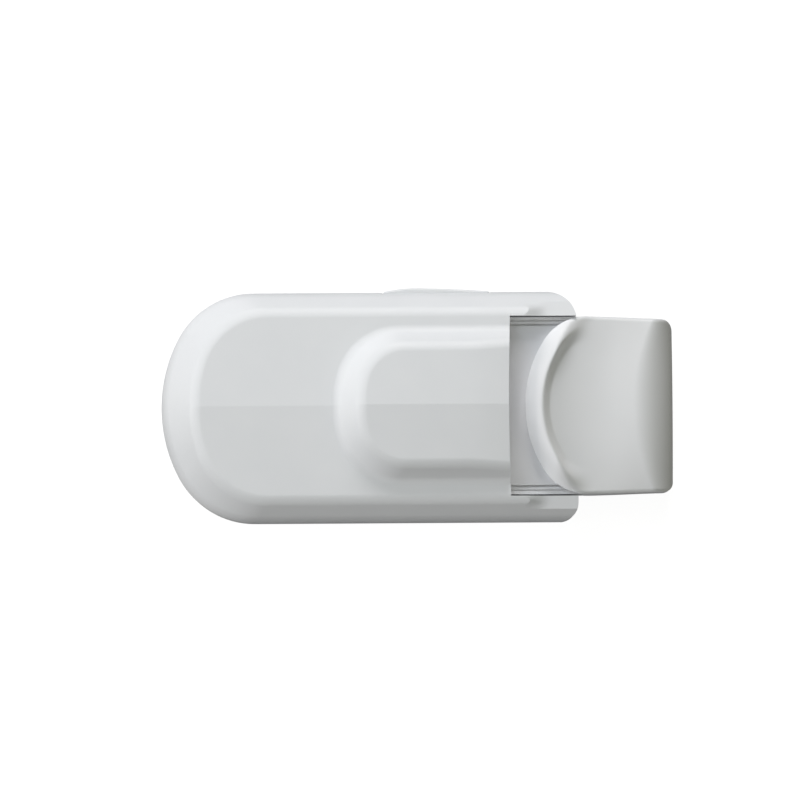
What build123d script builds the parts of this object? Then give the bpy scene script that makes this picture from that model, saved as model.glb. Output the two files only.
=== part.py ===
from build123d import *
from math import atan2, cos, degrees, sqrt
import os

# Stair gate latch, lying on its mounting face. Millimetres.
# +X points along the slide towards the latching nose, +Z out of the front.
# The origin is the centre of the four fixing inserts, on the mounting face.

FAR = 80.0
CUT_OVERLAP = 0.5

# Housing: a D shape with straight walls, a sloped band and a creased face
HOUSING_LEFT = -43.0
HOUSING_RIGHT = 43.0
HOUSING_HALF_WIDTH = 23.8
HOUSING_BOW = 31.0
HOUSING_CORNER = 17.5
END_CORNER = 6.0
SHOULDER_Z = 12.0
BAND_TOP_Z = 20.0
BAND_LEFT_INSET = 8.5
BAND_SIDE_INSET = 6.0
BAND_TOP_BOW = 29.5
BAND_TOP_CORNER = 15.0
BAND_TOP_END_CORNER = 3.0
WALL = 1.9
CEILING_SHIFT = 1.2
FACE_RIDGE_Z = 18.6
CREASE_SLOPE = 0.055

# Raised boss over the tunnel that the lip of the paddle slides into
BOSS_LEFT = -8.3
BOSS_HALF_WIDTH = 16.2
BOSS_BOW = 19.5
BOSS_CORNER = 13.4
BOSS_FOOT_Z = 16.8
BOSS_TOP_Z = 24.0
BOSS_LEFT_INSET = 7.6
BOSS_SIDE_INSET = 5.2
BOSS_TOP_BOW = 15.0
BOSS_TOP_CORNER = 8.6
BOSS_RIDGE_Z = 23.0
BOSS_CREASE_SLOPE = 0.08
BOSS_DROP_START = 21.0
BOSS_DROP = 0.8
BOSS_END_CORNER = 0.5
BOSS_SKIRT = 2.4

# Slot between the two ears, and the passages that the slide runs in
MOUTH_X = 29.1
SLOT_HALF_WIDTH = 18.6
EAR_RAMP_START = 32.2
EAR_RAMP_END = 37.6
EAR_Z = 14.2
CAVITY_RIGHT = 27.2
PASSAGE_REAR = -16.0
PASSAGE_TOP_Z = 15.4
CHANNEL_HALF_WIDTH = 20.8
CHANNEL_TOP_Z = 5.4
CHANNEL_FRONT = 35.4

# Base plate, its posts and the parts that sit on it
BASE_INSET = 0.3
BASE_THICKNESS = 2.4
POST_SPACING_X = 52.0
POST_SPACING_Y = 23.0
POST_RADIUS = 3.4
POST_TOP_Z = 8.4
INSERT_RADIUS = 2.6
INSERT_LENGTH = 6.0
INSERT_THREAD_RADIUS = 2.0
INSERT_HOLE_DEPTH = 7.6
PAD_THICKNESS = 0.6
PAD_BORDER = 8.5
PAD_RIGHT = 33.0
PAD_END_CORNER = 3.0
PAD_HOLE_RADIUS = 4.2
STOP_RIB_X = -18.0
STOP_RIB_THICKNESS = 2.0
STOP_RIB_Y = 12.0
STOP_RIB_WIDTH = 6.0

# Slide carriage
TRAVEL = 7.0
CARRIAGE_REAR = -8.0
CARRIAGE_FRONT = 44.0
CARRIAGE_HALF_WIDTH = 18.3
CARRIAGE_WALL = 1.8
CARRIAGE_END_WALL = 2.0
CARRIAGE_FLOOR_Z = 2.95
DECK_Z = 14.0
DECK_THICKNESS = 1.8
STRIP_Y = 16.4
STRIP_DROP = 0.35
GROOVES = [(16.4, 0.4), (17.35, 0.25)]
GROOVE_DEPTH = 0.8
FLANGE_HALF_WIDTH = 20.4
FLANGE_TOP_Z = 5.0
FLANGE_FRONT = 34.0
DECK_RIB_Y = 9.6
DECK_RIB_WIDTH = 1.2
DECK_RIB_DEPTH = 1.6
STRIP_REAR = -15.5
STRIP_INNER_Y = 18.8
BUMPER_THICKNESS = 1.3
REAR_BUMPER_HALF_WIDTH = 2.0
REAR_BUMPER_FILLET = 0.6
STOP_GAP = 0.05

# Thumb paddle and its nose
PADDLE_LEFT = 32.2
PADDLE_RIGHT = 63.0
PADDLE_HALF_WIDTH = 18.35
PADDLE_BOW = 24.8
PADDLE_CORNER = 10.7
PADDLE_END_CORNER = 1.7
PADDLE_BOTTOM_Z = 3.2
LIP_WIDTH = 3.1
LIP_SIDE_WIDTH = 2.2
LIP_TOP_Z = 18.6
LIP_CREST_X = 34.6
LIP_TAPER = 14.0
LIP_END_X = 49.0
DISH_Z = 15.0
DISH_REAR_Z = 18.0
DISH_START_X = 52.0
DISH_CURVE = 0.25
ROLL_START_X = 54.0
ROLL_END_Z = 5.0
PADDLE_WALL = 2.2
PADDLE_POST_RADIUS = 2.6
PADDLE_POST_FRONT = 50.0

# Latch tongue under the paddle
TONGUE_BACK = 30.0
TONGUE_TIP = 59.2
TONGUE_HALF_WIDTH = 7.5
TONGUE_BOTTOM_Z = 3.4
TONGUE_TOP_Z = 9.4
TONGUE_ROOT = 9.0
TONGUE_NOSE = 2.6
WINDOW_GAP = 0.3
TOOTH_SLOT_GAP = 0.4

# Return springs on their guide rods
SPRING_Y = 4.0
SPRING_Z = 7.6
SPRING_RADIUS = 2.75
WIRE_RADIUS = 0.4
SPRING_TURNS = 9
SEAT_X = -35.0
SEAT_THICKNESS = 2.2
SEAT_HALF_WIDTH = 8.0
SEAT_TOP_Z = 11.4
ROD_RADIUS = 1.3
ROD_HOLE_RADIUS = 1.6
ROD_END_X = 3.0
ROD_HEAD_RADIUS = 2.2
ROD_HEAD_LENGTH = 1.2
ROD_CHAMFER = 0.3
WASHER_THICKNESS = 0.8
WASHER_RADIUS = 3.1

# Side lock button
BUTTON_LEFT = 3.0
BUTTON_RIGHT = 25.0
BUTTON_BOTTOM_Z = 5.6
BUTTON_TOP_Z = 11.2
BUTTON_EDGE_Y = 23.9
BUTTON_CREST_Y = 24.6
BUTTON_CREST_X = 9.0
BUTTON_GAP = 0.2
BUTTON_FLANGE_Y = 20.7
BUTTON_FLANGE_OUTER_Y = 21.75
BUTTON_FLANGE_REACH = 1.2
BUTTON_FLANGE_TOP_Z = 10.4
BUTTON_WINDOW_Y = 21.0
TOOTH_X = 14.0
TOOTH_WIDTH = 4.0
TOOTH_BOTTOM_Z = 6.2
TOOTH_HEIGHT = 3.0
BACK_RIB_Y = 18.6
BACK_RIB_THICKNESS = 0.75
BACK_RIB_TOP_Z = 15.9
LEAF_THICKNESS = 0.2
LEAF_HEIGHT = 3.0
LEAF_TOOTH_GAP = 0.8
HOLD_DOWN_REAR = -12.0
HOLD_DOWN_FRONT = 0.0
HOLD_DOWN_TOP_Z = 9.0

# Screws
SCREW_RADIUS = 1.1
HEAD_RADIUS = 2.0
HEAD_HEIGHT = 1.2
DRIVE_LENGTH = 2.2
DRIVE_WIDTH = 0.5
DRIVE_DEPTH = 0.6
COVER_SCREW_HEAD_Z = 0.2
COVER_SCREW_TIP_Z = 9.5
COVER_POST_RADIUS = 2.6
COVER_SCREW_PLACES = [(38.0, 21.0), (38.0, -21.0), (-32.5, 14.0), (-32.5, -14.0)]
COVER_POST_PLACES = COVER_SCREW_PLACES[2:]
PADDLE_SCREW_Y = 12.5
PADDLE_SCREW_Z = 8.0
PADDLE_SCREW_LENGTH = 7.0
TONGUE_SCREW_PLACES = [(34.5, 4.0), (34.5, -4.0)]
TONGUE_SCREW_LENGTH = 8.4

SIDES = {"upper": 1, "lower": -1}

os.makedirs("parts", exist_ok=True)


def save(builder, name):
    """Label a finished piece and write it as its own STEP file."""
    builder.part.label = name
    export_step(builder.part, f"parts/{name}.step")


def d_outline(z, left, half_width, bow, corner, right, end_corner):
    """A D shape at height z: bowed left end, round corners, straight sides, squared right end."""
    bow_x = left + bow
    corner_y = half_width - corner
    corner_x = bow_x - sqrt((bow - corner) ** 2 - corner_y**2)
    touch = degrees(atan2(corner_y, corner_x - bow_x))
    end_x = right - end_corner
    end_y = half_width - end_corner
    with BuildSketch(Plane.XY.offset(z)) as sketch:
        with BuildLine():
            CenterArc((bow_x, 0), bow, touch, 180 - touch)
            CenterArc((corner_x, corner_y), corner, 90, touch - 90)
            Line((corner_x, half_width), (end_x, half_width))
            CenterArc((end_x, end_y), end_corner, 0, 90)
            Line((right, end_y), (right, 0))
            mirror(about=Plane.XZ)
        make_face()
    return sketch.sketch


def block(x_range, y_range, z_range, mode=Mode.ADD):
    """A box between two limits on each axis."""
    size = [high - low for low, high in (x_range, y_range, z_range)]
    centre = tuple((high + low) / 2 for low, high in (x_range, y_range, z_range))
    with Locations(centre):
        Box(*size, mode=mode)


def crease(ridge_z, slope):
    """Cut the part built so far down to a shallow roof with its ridge along X."""
    eave_z = ridge_z - slope * FAR
    with BuildSketch(Plane.YZ.offset(-FAR)) as roof:
        Polygon((-FAR, -FAR), (FAR, -FAR), (FAR, eave_z), (0, ridge_z), (-FAR, eave_z), align=None)
    extrude(roof.sketch, amount=2 * FAR, mode=Mode.INTERSECT)


def housing_form(gap, bottom_z, right, end_corner, drop):
    """The housing's solid shape, drawn in by gap at the sides and lowered by drop."""
    low = d_outline(
        SHOULDER_Z - drop, HOUSING_LEFT + gap, HOUSING_HALF_WIDTH - gap,
        HOUSING_BOW - gap, HOUSING_CORNER - gap, right, end_corner,
    )
    high = d_outline(
        BAND_TOP_Z - drop, HOUSING_LEFT + BAND_LEFT_INSET + gap,
        HOUSING_HALF_WIDTH - BAND_SIDE_INSET - gap,
        BAND_TOP_BOW - gap, BAND_TOP_CORNER - gap, right, min(end_corner, BAND_TOP_END_CORNER),
    )
    with BuildPart() as form:
        loft([low.face(), high.face()], ruled=True)
        crease(FACE_RIDGE_Z - gap, CREASE_SLOPE)
        extrude(low, amount=bottom_z - (SHOULDER_Z - drop))
    return form.part


def boss_form(gap, right):
    """The boss's solid shape, drawn in and lowered by gap."""
    foot = d_outline(
        BOSS_FOOT_Z - gap, BOSS_LEFT + gap, BOSS_HALF_WIDTH - gap,
        BOSS_BOW - gap, BOSS_CORNER - gap, right, BOSS_END_CORNER,
    )
    top = d_outline(
        BOSS_TOP_Z - gap, BOSS_LEFT + BOSS_LEFT_INSET + gap, BOSS_HALF_WIDTH - BOSS_SIDE_INSET - gap,
        BOSS_TOP_BOW - gap, BOSS_TOP_CORNER - gap, right, BOSS_END_CORNER,
    )
    with BuildPart() as form:
        loft([foot.face(), top.face()], ruled=True)
        crease(BOSS_RIDGE_Z - gap, BOSS_CREASE_SLOPE)
        with BuildSketch(Plane.XZ.offset(-FAR)):
            Polygon(
                (BOSS_DROP_START, BOSS_RIDGE_Z - gap), (MOUTH_X, BOSS_RIDGE_Z - BOSS_DROP - gap),
                (FAR, BOSS_RIDGE_Z - BOSS_DROP - gap), (FAR, FAR), (BOSS_DROP_START, FAR), align=None,
            )
        extrude(amount=2 * FAR, mode=Mode.SUBTRACT)
        extrude(foot, amount=-BOSS_SKIRT)
    return form.part


def long_screw(plane, length):
    """One pan-head screw with a cross recess: its head stands on the plane, its shank goes up."""
    with BuildPart() as screw:
        with BuildSketch(plane):
            Circle(HEAD_RADIUS)
        extrude(amount=HEAD_HEIGHT)
        with BuildSketch(plane):
            Circle(SCREW_RADIUS)
        extrude(amount=HEAD_HEIGHT + length)
        with BuildSketch(plane):
            Rectangle(DRIVE_LENGTH, DRIVE_WIDTH)
            Rectangle(DRIVE_WIDTH, DRIVE_LENGTH)
        extrude(amount=DRIVE_DEPTH, mode=Mode.SUBTRACT)
    return screw.part


# ---------------------------------------------------------------- front cover
with BuildPart() as front_cover:
    add(housing_form(0, BASE_THICKNESS, HOUSING_RIGHT, END_CORNER, 0))
    add(boss_form(0, MOUTH_X))
    add(housing_form(WALL, 0, CAVITY_RIGHT, BOSS_END_CORNER, CEILING_SHIFT), mode=Mode.SUBTRACT)
    add(boss_form(WALL, MOUTH_X + WALL), mode=Mode.SUBTRACT)
    block((PASSAGE_REAR, FAR), (-SLOT_HALF_WIDTH, SLOT_HALF_WIDTH), (0, PASSAGE_TOP_Z), Mode.SUBTRACT)
    block(
        (PASSAGE_REAR, CHANNEL_FRONT), (-CHANNEL_HALF_WIDTH, CHANNEL_HALF_WIDTH),
        (0, CHANNEL_TOP_Z), Mode.SUBTRACT,
    )
    block((MOUTH_X, FAR), (-SLOT_HALF_WIDTH, SLOT_HALF_WIDTH), (0, FAR), Mode.SUBTRACT)
    # the ears ramp down to a lower level at the open end
    with BuildSketch(Plane.XZ.offset(-FAR)):
        Polygon(
            (EAR_RAMP_START, FACE_RIDGE_Z), (EAR_RAMP_END, EAR_Z), (FAR, EAR_Z),
            (FAR, FAR), (EAR_RAMP_START, FAR), align=None,
        )
    extrude(amount=2 * FAR, mode=Mode.SUBTRACT)
    # ribs that hold the slide's flanges down, one inside each long wall
    for side in SIDES.values():
        block(
            (HOLD_DOWN_REAR, HOLD_DOWN_FRONT),
            sorted((side * STRIP_INNER_Y, side * (HOUSING_HALF_WIDTH - WALL / 2))),
            (CHANNEL_TOP_Z, HOLD_DOWN_TOP_Z),
        )
    # rib behind the side button, with a window for its tooth
    block(
        (HOLD_DOWN_FRONT, CAVITY_RIGHT), (BACK_RIB_Y, BACK_RIB_Y + BACK_RIB_THICKNESS),
        (CHANNEL_TOP_Z, BACK_RIB_TOP_Z),
    )
    block(
        (TOOTH_X - TOOTH_WIDTH / 2 - WINDOW_GAP, TOOTH_X + TOOTH_WIDTH / 2 + WINDOW_GAP),
        (BACK_RIB_Y - CUT_OVERLAP, BACK_RIB_Y + BACK_RIB_THICKNESS + CUT_OVERLAP),
        (TOOTH_BOTTOM_Z - WINDOW_GAP, TOOTH_BOTTOM_Z + TOOTH_HEIGHT + WINDOW_GAP),
        Mode.SUBTRACT,
    )
    # window in the wall for the side button
    block(
        (BUTTON_LEFT - BUTTON_GAP, BUTTON_RIGHT + BUTTON_GAP),
        (BUTTON_WINDOW_Y, FAR),
        (BUTTON_BOTTOM_Z - BUTTON_GAP, BUTTON_TOP_Z + BUTTON_GAP),
        Mode.SUBTRACT,
    )
    # screw posts at the closed end, then all four screw holes
    with Locations(*[(x, y, BASE_THICKNESS) for x, y in COVER_POST_PLACES]):
        Cylinder(
            COVER_POST_RADIUS, SHOULDER_Z, align=(Align.CENTER, Align.CENTER, Align.MIN)
        )
    with Locations(*[(x, y, BASE_THICKNESS) for x, y in COVER_SCREW_PLACES]):
        Cylinder(
            SCREW_RADIUS, COVER_SCREW_TIP_Z - BASE_THICKNESS,
            align=(Align.CENTER, Align.CENTER, Align.MIN), mode=Mode.SUBTRACT,
        )
save(front_cover, "front_cover")

# ---------------------------------------------------------------- base plate
with BuildPart() as base_plate:
    plate = d_outline(
        0, HOUSING_LEFT + BASE_INSET, HOUSING_HALF_WIDTH - BASE_INSET,
        HOUSING_BOW - BASE_INSET, HOUSING_CORNER - BASE_INSET,
        HOUSING_RIGHT - BASE_INSET, END_CORNER - BASE_INSET,
    )
    extrude(plate, amount=BASE_THICKNESS)
    with BuildSketch():
        with GridLocations(POST_SPACING_X, POST_SPACING_Y, 2, 2):
            Circle(POST_RADIUS)
    extrude(amount=POST_TOP_Z)
    # wall that the springs push against, and ribs that stop the slide
    block(
        (SEAT_X - SEAT_THICKNESS, SEAT_X), (-SEAT_HALF_WIDTH, SEAT_HALF_WIDTH),
        (BASE_THICKNESS / 2, SEAT_TOP_Z),
    )
    for side in SIDES.values():
        with Locations((STOP_RIB_X, side * STOP_RIB_Y, POST_TOP_Z / 2)):
            Box(STOP_RIB_THICKNESS, STOP_RIB_WIDTH, POST_TOP_Z)
    with BuildSketch(Plane.YZ.offset(SEAT_X - SEAT_THICKNESS)):
        with Locations((SPRING_Y, SPRING_Z), (-SPRING_Y, SPRING_Z)):
            Circle(ROD_RADIUS)
    extrude(amount=SEAT_THICKNESS, mode=Mode.SUBTRACT)
    # recess for the backing pad
    pad_outline = d_outline(
        0, HOUSING_LEFT + PAD_BORDER, HOUSING_HALF_WIDTH - PAD_BORDER,
        HOUSING_BOW - PAD_BORDER, HOUSING_CORNER - PAD_BORDER, PAD_RIGHT, PAD_END_CORNER,
    )
    with BuildSketch():
        add(pad_outline)
        with GridLocations(POST_SPACING_X, POST_SPACING_Y, 2, 2):
            Circle(PAD_HOLE_RADIUS, mode=Mode.SUBTRACT)
    extrude(amount=PAD_THICKNESS, mode=Mode.SUBTRACT)
    # holes for the inserts, then counterbored holes for the cover screws
    with BuildSketch():
        with GridLocations(POST_SPACING_X, POST_SPACING_Y, 2, 2):
            Circle(INSERT_RADIUS)
    extrude(amount=INSERT_LENGTH, mode=Mode.SUBTRACT)
    with BuildSketch():
        with GridLocations(POST_SPACING_X, POST_SPACING_Y, 2, 2):
            Circle(INSERT_THREAD_RADIUS)
    extrude(amount=INSERT_HOLE_DEPTH, mode=Mode.SUBTRACT)
    with BuildSketch():
        with Locations(*COVER_SCREW_PLACES):
            Circle(SCREW_RADIUS)
    extrude(amount=BASE_THICKNESS, mode=Mode.SUBTRACT)
    with BuildSketch():
        with Locations(*COVER_SCREW_PLACES):
            Circle(HEAD_RADIUS)
    extrude(amount=COVER_SCREW_HEAD_Z + HEAD_HEIGHT, mode=Mode.SUBTRACT)
save(base_plate, "base_plate")

# ---------------------------------------------------------------- backing pad
with BuildPart() as backing_pad:
    with BuildSketch():
        add(pad_outline)
        with GridLocations(POST_SPACING_X, POST_SPACING_Y, 2, 2):
            Circle(PAD_HOLE_RADIUS, mode=Mode.SUBTRACT)
    extrude(amount=PAD_THICKNESS)
save(backing_pad, "backing_pad")

# ---------------------------------------------------------------- brass inserts
with BuildPart() as threaded_inserts:
    with BuildSketch():
        with GridLocations(POST_SPACING_X, POST_SPACING_Y, 2, 2):
            Circle(INSERT_RADIUS)
            Circle(INSERT_THREAD_RADIUS, mode=Mode.SUBTRACT)
    extrude(amount=INSERT_LENGTH)
save(threaded_inserts, "threaded_inserts")

# ---------------------------------------------------------------- cover screws
cover_screw = long_screw(
    Plane.XY.offset(COVER_SCREW_HEAD_Z), COVER_SCREW_TIP_Z - COVER_SCREW_HEAD_Z - HEAD_HEIGHT
)
with BuildPart() as cover_screws:
    with Locations(*[(x, y, 0) for x, y in COVER_SCREW_PLACES]):
        add(cover_screw)
save(cover_screws, "cover_screws")

# ---------------------------------------------------------------- slide carriage
with BuildPart() as slide_carriage:
    block(
        (CARRIAGE_REAR, CARRIAGE_FRONT), (-CARRIAGE_HALF_WIDTH, CARRIAGE_HALF_WIDTH),
        (CARRIAGE_FLOOR_Z, DECK_Z),
    )
    block(
        (CARRIAGE_REAR, FLANGE_FRONT), (-FLANGE_HALF_WIDTH, FLANGE_HALF_WIDTH),
        (CARRIAGE_FLOOR_Z, FLANGE_TOP_Z),
    )
    inner_half_width = CARRIAGE_HALF_WIDTH - CARRIAGE_WALL
    hollow_top_z = DECK_Z - DECK_THICKNESS
    block(
        (CARRIAGE_REAR + CARRIAGE_END_WALL, CARRIAGE_FRONT - CARRIAGE_END_WALL),
        (-inner_half_width, inner_half_width), (0, hollow_top_z), Mode.SUBTRACT,
    )
    for side in SIDES.values():
        # stiffening rib under the deck
        block(
            (CARRIAGE_REAR + CARRIAGE_END_WALL, CARRIAGE_FRONT - CARRIAGE_END_WALL),
            sorted((side * DECK_RIB_Y, side * (DECK_RIB_Y + DECK_RIB_WIDTH))),
            (hollow_top_z - DECK_RIB_DEPTH, hollow_top_z),
        )
        # the deck's edge strip is a little lower and has two fine grooves
        block(
            (CARRIAGE_REAR, CARRIAGE_FRONT), sorted((side * STRIP_Y, side * FAR)),
            (DECK_Z - STRIP_DROP, FAR), Mode.SUBTRACT,
        )
        for groove_y, groove_width in GROOVES:
            block(
                (CARRIAGE_REAR, CARRIAGE_FRONT), sorted((side * groove_y, side * (groove_y + groove_width))),
                (DECK_Z - GROOVE_DEPTH, FAR), Mode.SUBTRACT,
            )
    # window for the tongue in the front wall
    block(
        (CARRIAGE_FRONT - CARRIAGE_END_WALL, CARRIAGE_FRONT),
        (-TONGUE_HALF_WIDTH - WINDOW_GAP, TONGUE_HALF_WIDTH + WINDOW_GAP),
        (0, TONGUE_TOP_Z + WINDOW_GAP), Mode.SUBTRACT,
    )
    # slot in the upper wall that the button's tooth drops into, as long as the travel
    block(
        (TOOTH_X - TOOTH_WIDTH / 2 - TOOTH_SLOT_GAP, TOOTH_X + TOOTH_WIDTH / 2 + TRAVEL + TOOTH_SLOT_GAP),
        (inner_half_width - CUT_OVERLAP, CARRIAGE_HALF_WIDTH + CUT_OVERLAP),
        (TOOTH_BOTTOM_Z - TOOTH_SLOT_GAP, TOOTH_BOTTOM_Z + TOOTH_HEIGHT + TOOTH_SLOT_GAP),
        Mode.SUBTRACT,
    )
    with BuildSketch(Plane.YZ.offset(CARRIAGE_REAR)):
        with Locations((SPRING_Y, SPRING_Z), (-SPRING_Y, SPRING_Z)):
            Circle(ROD_HOLE_RADIUS)
    extrude(amount=CARRIAGE_END_WALL, mode=Mode.SUBTRACT)
    with BuildSketch(Plane.YZ.offset(CARRIAGE_FRONT - CARRIAGE_END_WALL)):
        with Locations((PADDLE_SCREW_Y, PADDLE_SCREW_Z), (-PADDLE_SCREW_Y, PADDLE_SCREW_Z)):
            Circle(SCREW_RADIUS)
    extrude(amount=CARRIAGE_END_WALL, mode=Mode.SUBTRACT)
    with BuildSketch(Plane.XY.offset(hollow_top_z)):
        with Locations(*TONGUE_SCREW_PLACES):
            Circle(SCREW_RADIUS)
    tongue_screw_tip_z = TONGUE_BOTTOM_Z + HEAD_HEIGHT + TONGUE_SCREW_LENGTH
    extrude(amount=tongue_screw_tip_z - hollow_top_z, mode=Mode.SUBTRACT)
save(slide_carriage, "slide_carriage")

# ---------------------------------------------------------------- thumb paddle
paddle_foot = d_outline(
    DECK_Z, PADDLE_LEFT, PADDLE_HALF_WIDTH, PADDLE_BOW, PADDLE_CORNER, PADDLE_RIGHT, PADDLE_END_CORNER
)
dish_outline = d_outline(
    PADDLE_BOTTOM_Z, PADDLE_LEFT + LIP_WIDTH, PADDLE_HALF_WIDTH - LIP_SIDE_WIDTH,
    PADDLE_BOW - LIP_WIDTH, PADDLE_CORNER - LIP_SIDE_WIDTH, PADDLE_RIGHT, PADDLE_END_CORNER,
)
with BuildPart() as dish_form:
    extrude(dish_outline, amount=FAR)
    with BuildSketch(Plane.XZ.offset(-FAR)):
        with BuildLine():
            ThreePointArc(
                (PADDLE_LEFT, DISH_REAR_Z),
                ((PADDLE_LEFT + DISH_START_X) / 2, DISH_Z + (DISH_REAR_Z - DISH_Z) * DISH_CURVE),
                (DISH_START_X, DISH_Z),
            )
            Polyline(
                (DISH_START_X, DISH_Z), (DISH_START_X, FAR),
                (PADDLE_LEFT, FAR), (PADDLE_LEFT, DISH_REAR_Z),
            )
        make_face()
    extrude(amount=2 * FAR, mode=Mode.INTERSECT)

with BuildPart() as thumb_paddle:
    extrude(paddle_foot, amount=LIP_TOP_Z - DECK_Z + CUT_OVERLAP, taper=LIP_TAPER)
    extrude(paddle_foot, amount=PADDLE_BOTTOM_Z - DECK_Z)
    # side profile: lip, slope into the dish, flat, and the nose rolling down
    with BuildSketch(Plane.XZ.offset(-FAR)):
        with BuildLine():
            Polyline(
                (CARRIAGE_FRONT, DECK_Z), (PADDLE_LEFT - CUT_OVERLAP, DECK_Z),
                (PADDLE_LEFT - CUT_OVERLAP, LIP_TOP_Z), (LIP_CREST_X, LIP_TOP_Z), (LIP_END_X, DISH_Z),
                (ROLL_START_X, DISH_Z),
            )
            EllipticalCenterArc(
                (ROLL_START_X, ROLL_END_Z), PADDLE_RIGHT - ROLL_START_X, DISH_Z - ROLL_END_Z, 0, arc_size=90
            )
            Polyline(
                (PADDLE_RIGHT, ROLL_END_Z), (PADDLE_RIGHT, PADDLE_BOTTOM_Z),
                (CARRIAGE_FRONT, PADDLE_BOTTOM_Z), (CARRIAGE_FRONT, DECK_Z),
            )
        make_face()
    extrude(amount=2 * FAR, mode=Mode.INTERSECT)
    add(dish_form.part, mode=Mode.SUBTRACT)
    # hollow under the nose, open below
    hollow_x = PADDLE_RIGHT - PADDLE_WALL
    with BuildSketch(Plane.XZ.offset(PADDLE_WALL - PADDLE_HALF_WIDTH)):
        with BuildLine():
            Polyline(
                (ROLL_START_X, DISH_Z - PADDLE_WALL), (CARRIAGE_FRONT + PADDLE_WALL, DISH_Z - PADDLE_WALL),
                (CARRIAGE_FRONT + PADDLE_WALL, 0), (hollow_x, 0), (hollow_x, ROLL_END_Z),
            )
            EllipticalCenterArc(
                (ROLL_START_X, ROLL_END_Z), hollow_x - ROLL_START_X,
                DISH_Z - PADDLE_WALL - ROLL_END_Z, 0, arc_size=90,
            )
        make_face()
    extrude(amount=2 * (PADDLE_HALF_WIDTH - PADDLE_WALL), mode=Mode.SUBTRACT)
    # window for the tongue, and the posts that the paddle screws bite into
    block(
        (CARRIAGE_FRONT, CARRIAGE_FRONT + PADDLE_WALL),
        (-TONGUE_HALF_WIDTH - WINDOW_GAP, TONGUE_HALF_WIDTH + WINDOW_GAP),
        (0, TONGUE_TOP_Z + WINDOW_GAP), Mode.SUBTRACT,
    )
    with BuildSketch(Plane.YZ.offset(CARRIAGE_FRONT)):
        with Locations((PADDLE_SCREW_Y, PADDLE_SCREW_Z), (-PADDLE_SCREW_Y, PADDLE_SCREW_Z)):
            Circle(PADDLE_POST_RADIUS)
    extrude(amount=PADDLE_POST_FRONT - CARRIAGE_FRONT)
    with BuildSketch(Plane.YZ.offset(CARRIAGE_FRONT)):
        with Locations((PADDLE_SCREW_Y, PADDLE_SCREW_Z), (-PADDLE_SCREW_Y, PADDLE_SCREW_Z)):
            Circle(SCREW_RADIUS)
    extrude(amount=PADDLE_SCREW_LENGTH - CARRIAGE_END_WALL, mode=Mode.SUBTRACT)
save(thumb_paddle, "thumb_paddle")

# ---------------------------------------------------------------- latch tongue
with BuildPart() as latch_tongue:
    with BuildSketch(Plane.XZ.offset(-TONGUE_HALF_WIDTH)):
        Polygon(
            (TONGUE_BACK, TONGUE_BOTTOM_Z), (TONGUE_TIP - TONGUE_NOSE, TONGUE_BOTTOM_Z),
            (TONGUE_TIP, TONGUE_BOTTOM_Z + TONGUE_NOSE), (TONGUE_TIP, TONGUE_TOP_Z),
            (TONGUE_BACK + TONGUE_ROOT, TONGUE_TOP_Z), (TONGUE_BACK + TONGUE_ROOT, hollow_top_z),
            (TONGUE_BACK, hollow_top_z), align=None,
        )
    extrude(amount=2 * TONGUE_HALF_WIDTH)
    nose_edges = latch_tongue.edges().filter_by(Axis.Z).group_by(Axis.X)[-1]
    fillet(nose_edges, TONGUE_NOSE)
    with BuildSketch(Plane.XY.offset(TONGUE_BOTTOM_Z)):
        with Locations(*TONGUE_SCREW_PLACES):
            Circle(SCREW_RADIUS)
    extrude(amount=FAR, mode=Mode.SUBTRACT)
    with BuildSketch(Plane.XY.offset(TONGUE_BOTTOM_Z)):
        with Locations(*TONGUE_SCREW_PLACES):
            Circle(HEAD_RADIUS)
    extrude(amount=HEAD_HEIGHT, mode=Mode.SUBTRACT)
save(latch_tongue, "latch_tongue")

# ---------------------------------------------------------------- slide screws
paddle_screw = long_screw(
    Plane.YZ.offset(CARRIAGE_FRONT - CARRIAGE_END_WALL - HEAD_HEIGHT), PADDLE_SCREW_LENGTH
)
with BuildPart() as paddle_screws:
    with Locations((0, PADDLE_SCREW_Y, PADDLE_SCREW_Z), (0, -PADDLE_SCREW_Y, PADDLE_SCREW_Z)):
        add(paddle_screw)
save(paddle_screws, "paddle_screws")

tongue_screw = long_screw(Plane.XY.offset(TONGUE_BOTTOM_Z), TONGUE_SCREW_LENGTH)
with BuildPart() as tongue_screws:
    with Locations(*[(x, y, 0) for x, y in TONGUE_SCREW_PLACES]):
        add(tongue_screw)
save(tongue_screws, "tongue_screws")

# ---------------------------------------------------------------- spring washers
washer_x = CARRIAGE_REAR - WASHER_THICKNESS
with BuildPart() as spring_washers:
    with BuildSketch(Plane.YZ.offset(washer_x)):
        with Locations((SPRING_Y, SPRING_Z), (-SPRING_Y, SPRING_Z)):
            Circle(WASHER_RADIUS)
            Circle(ROD_HOLE_RADIUS, mode=Mode.SUBTRACT)
    extrude(amount=WASHER_THICKNESS)
save(spring_washers, "spring_washers")

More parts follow.
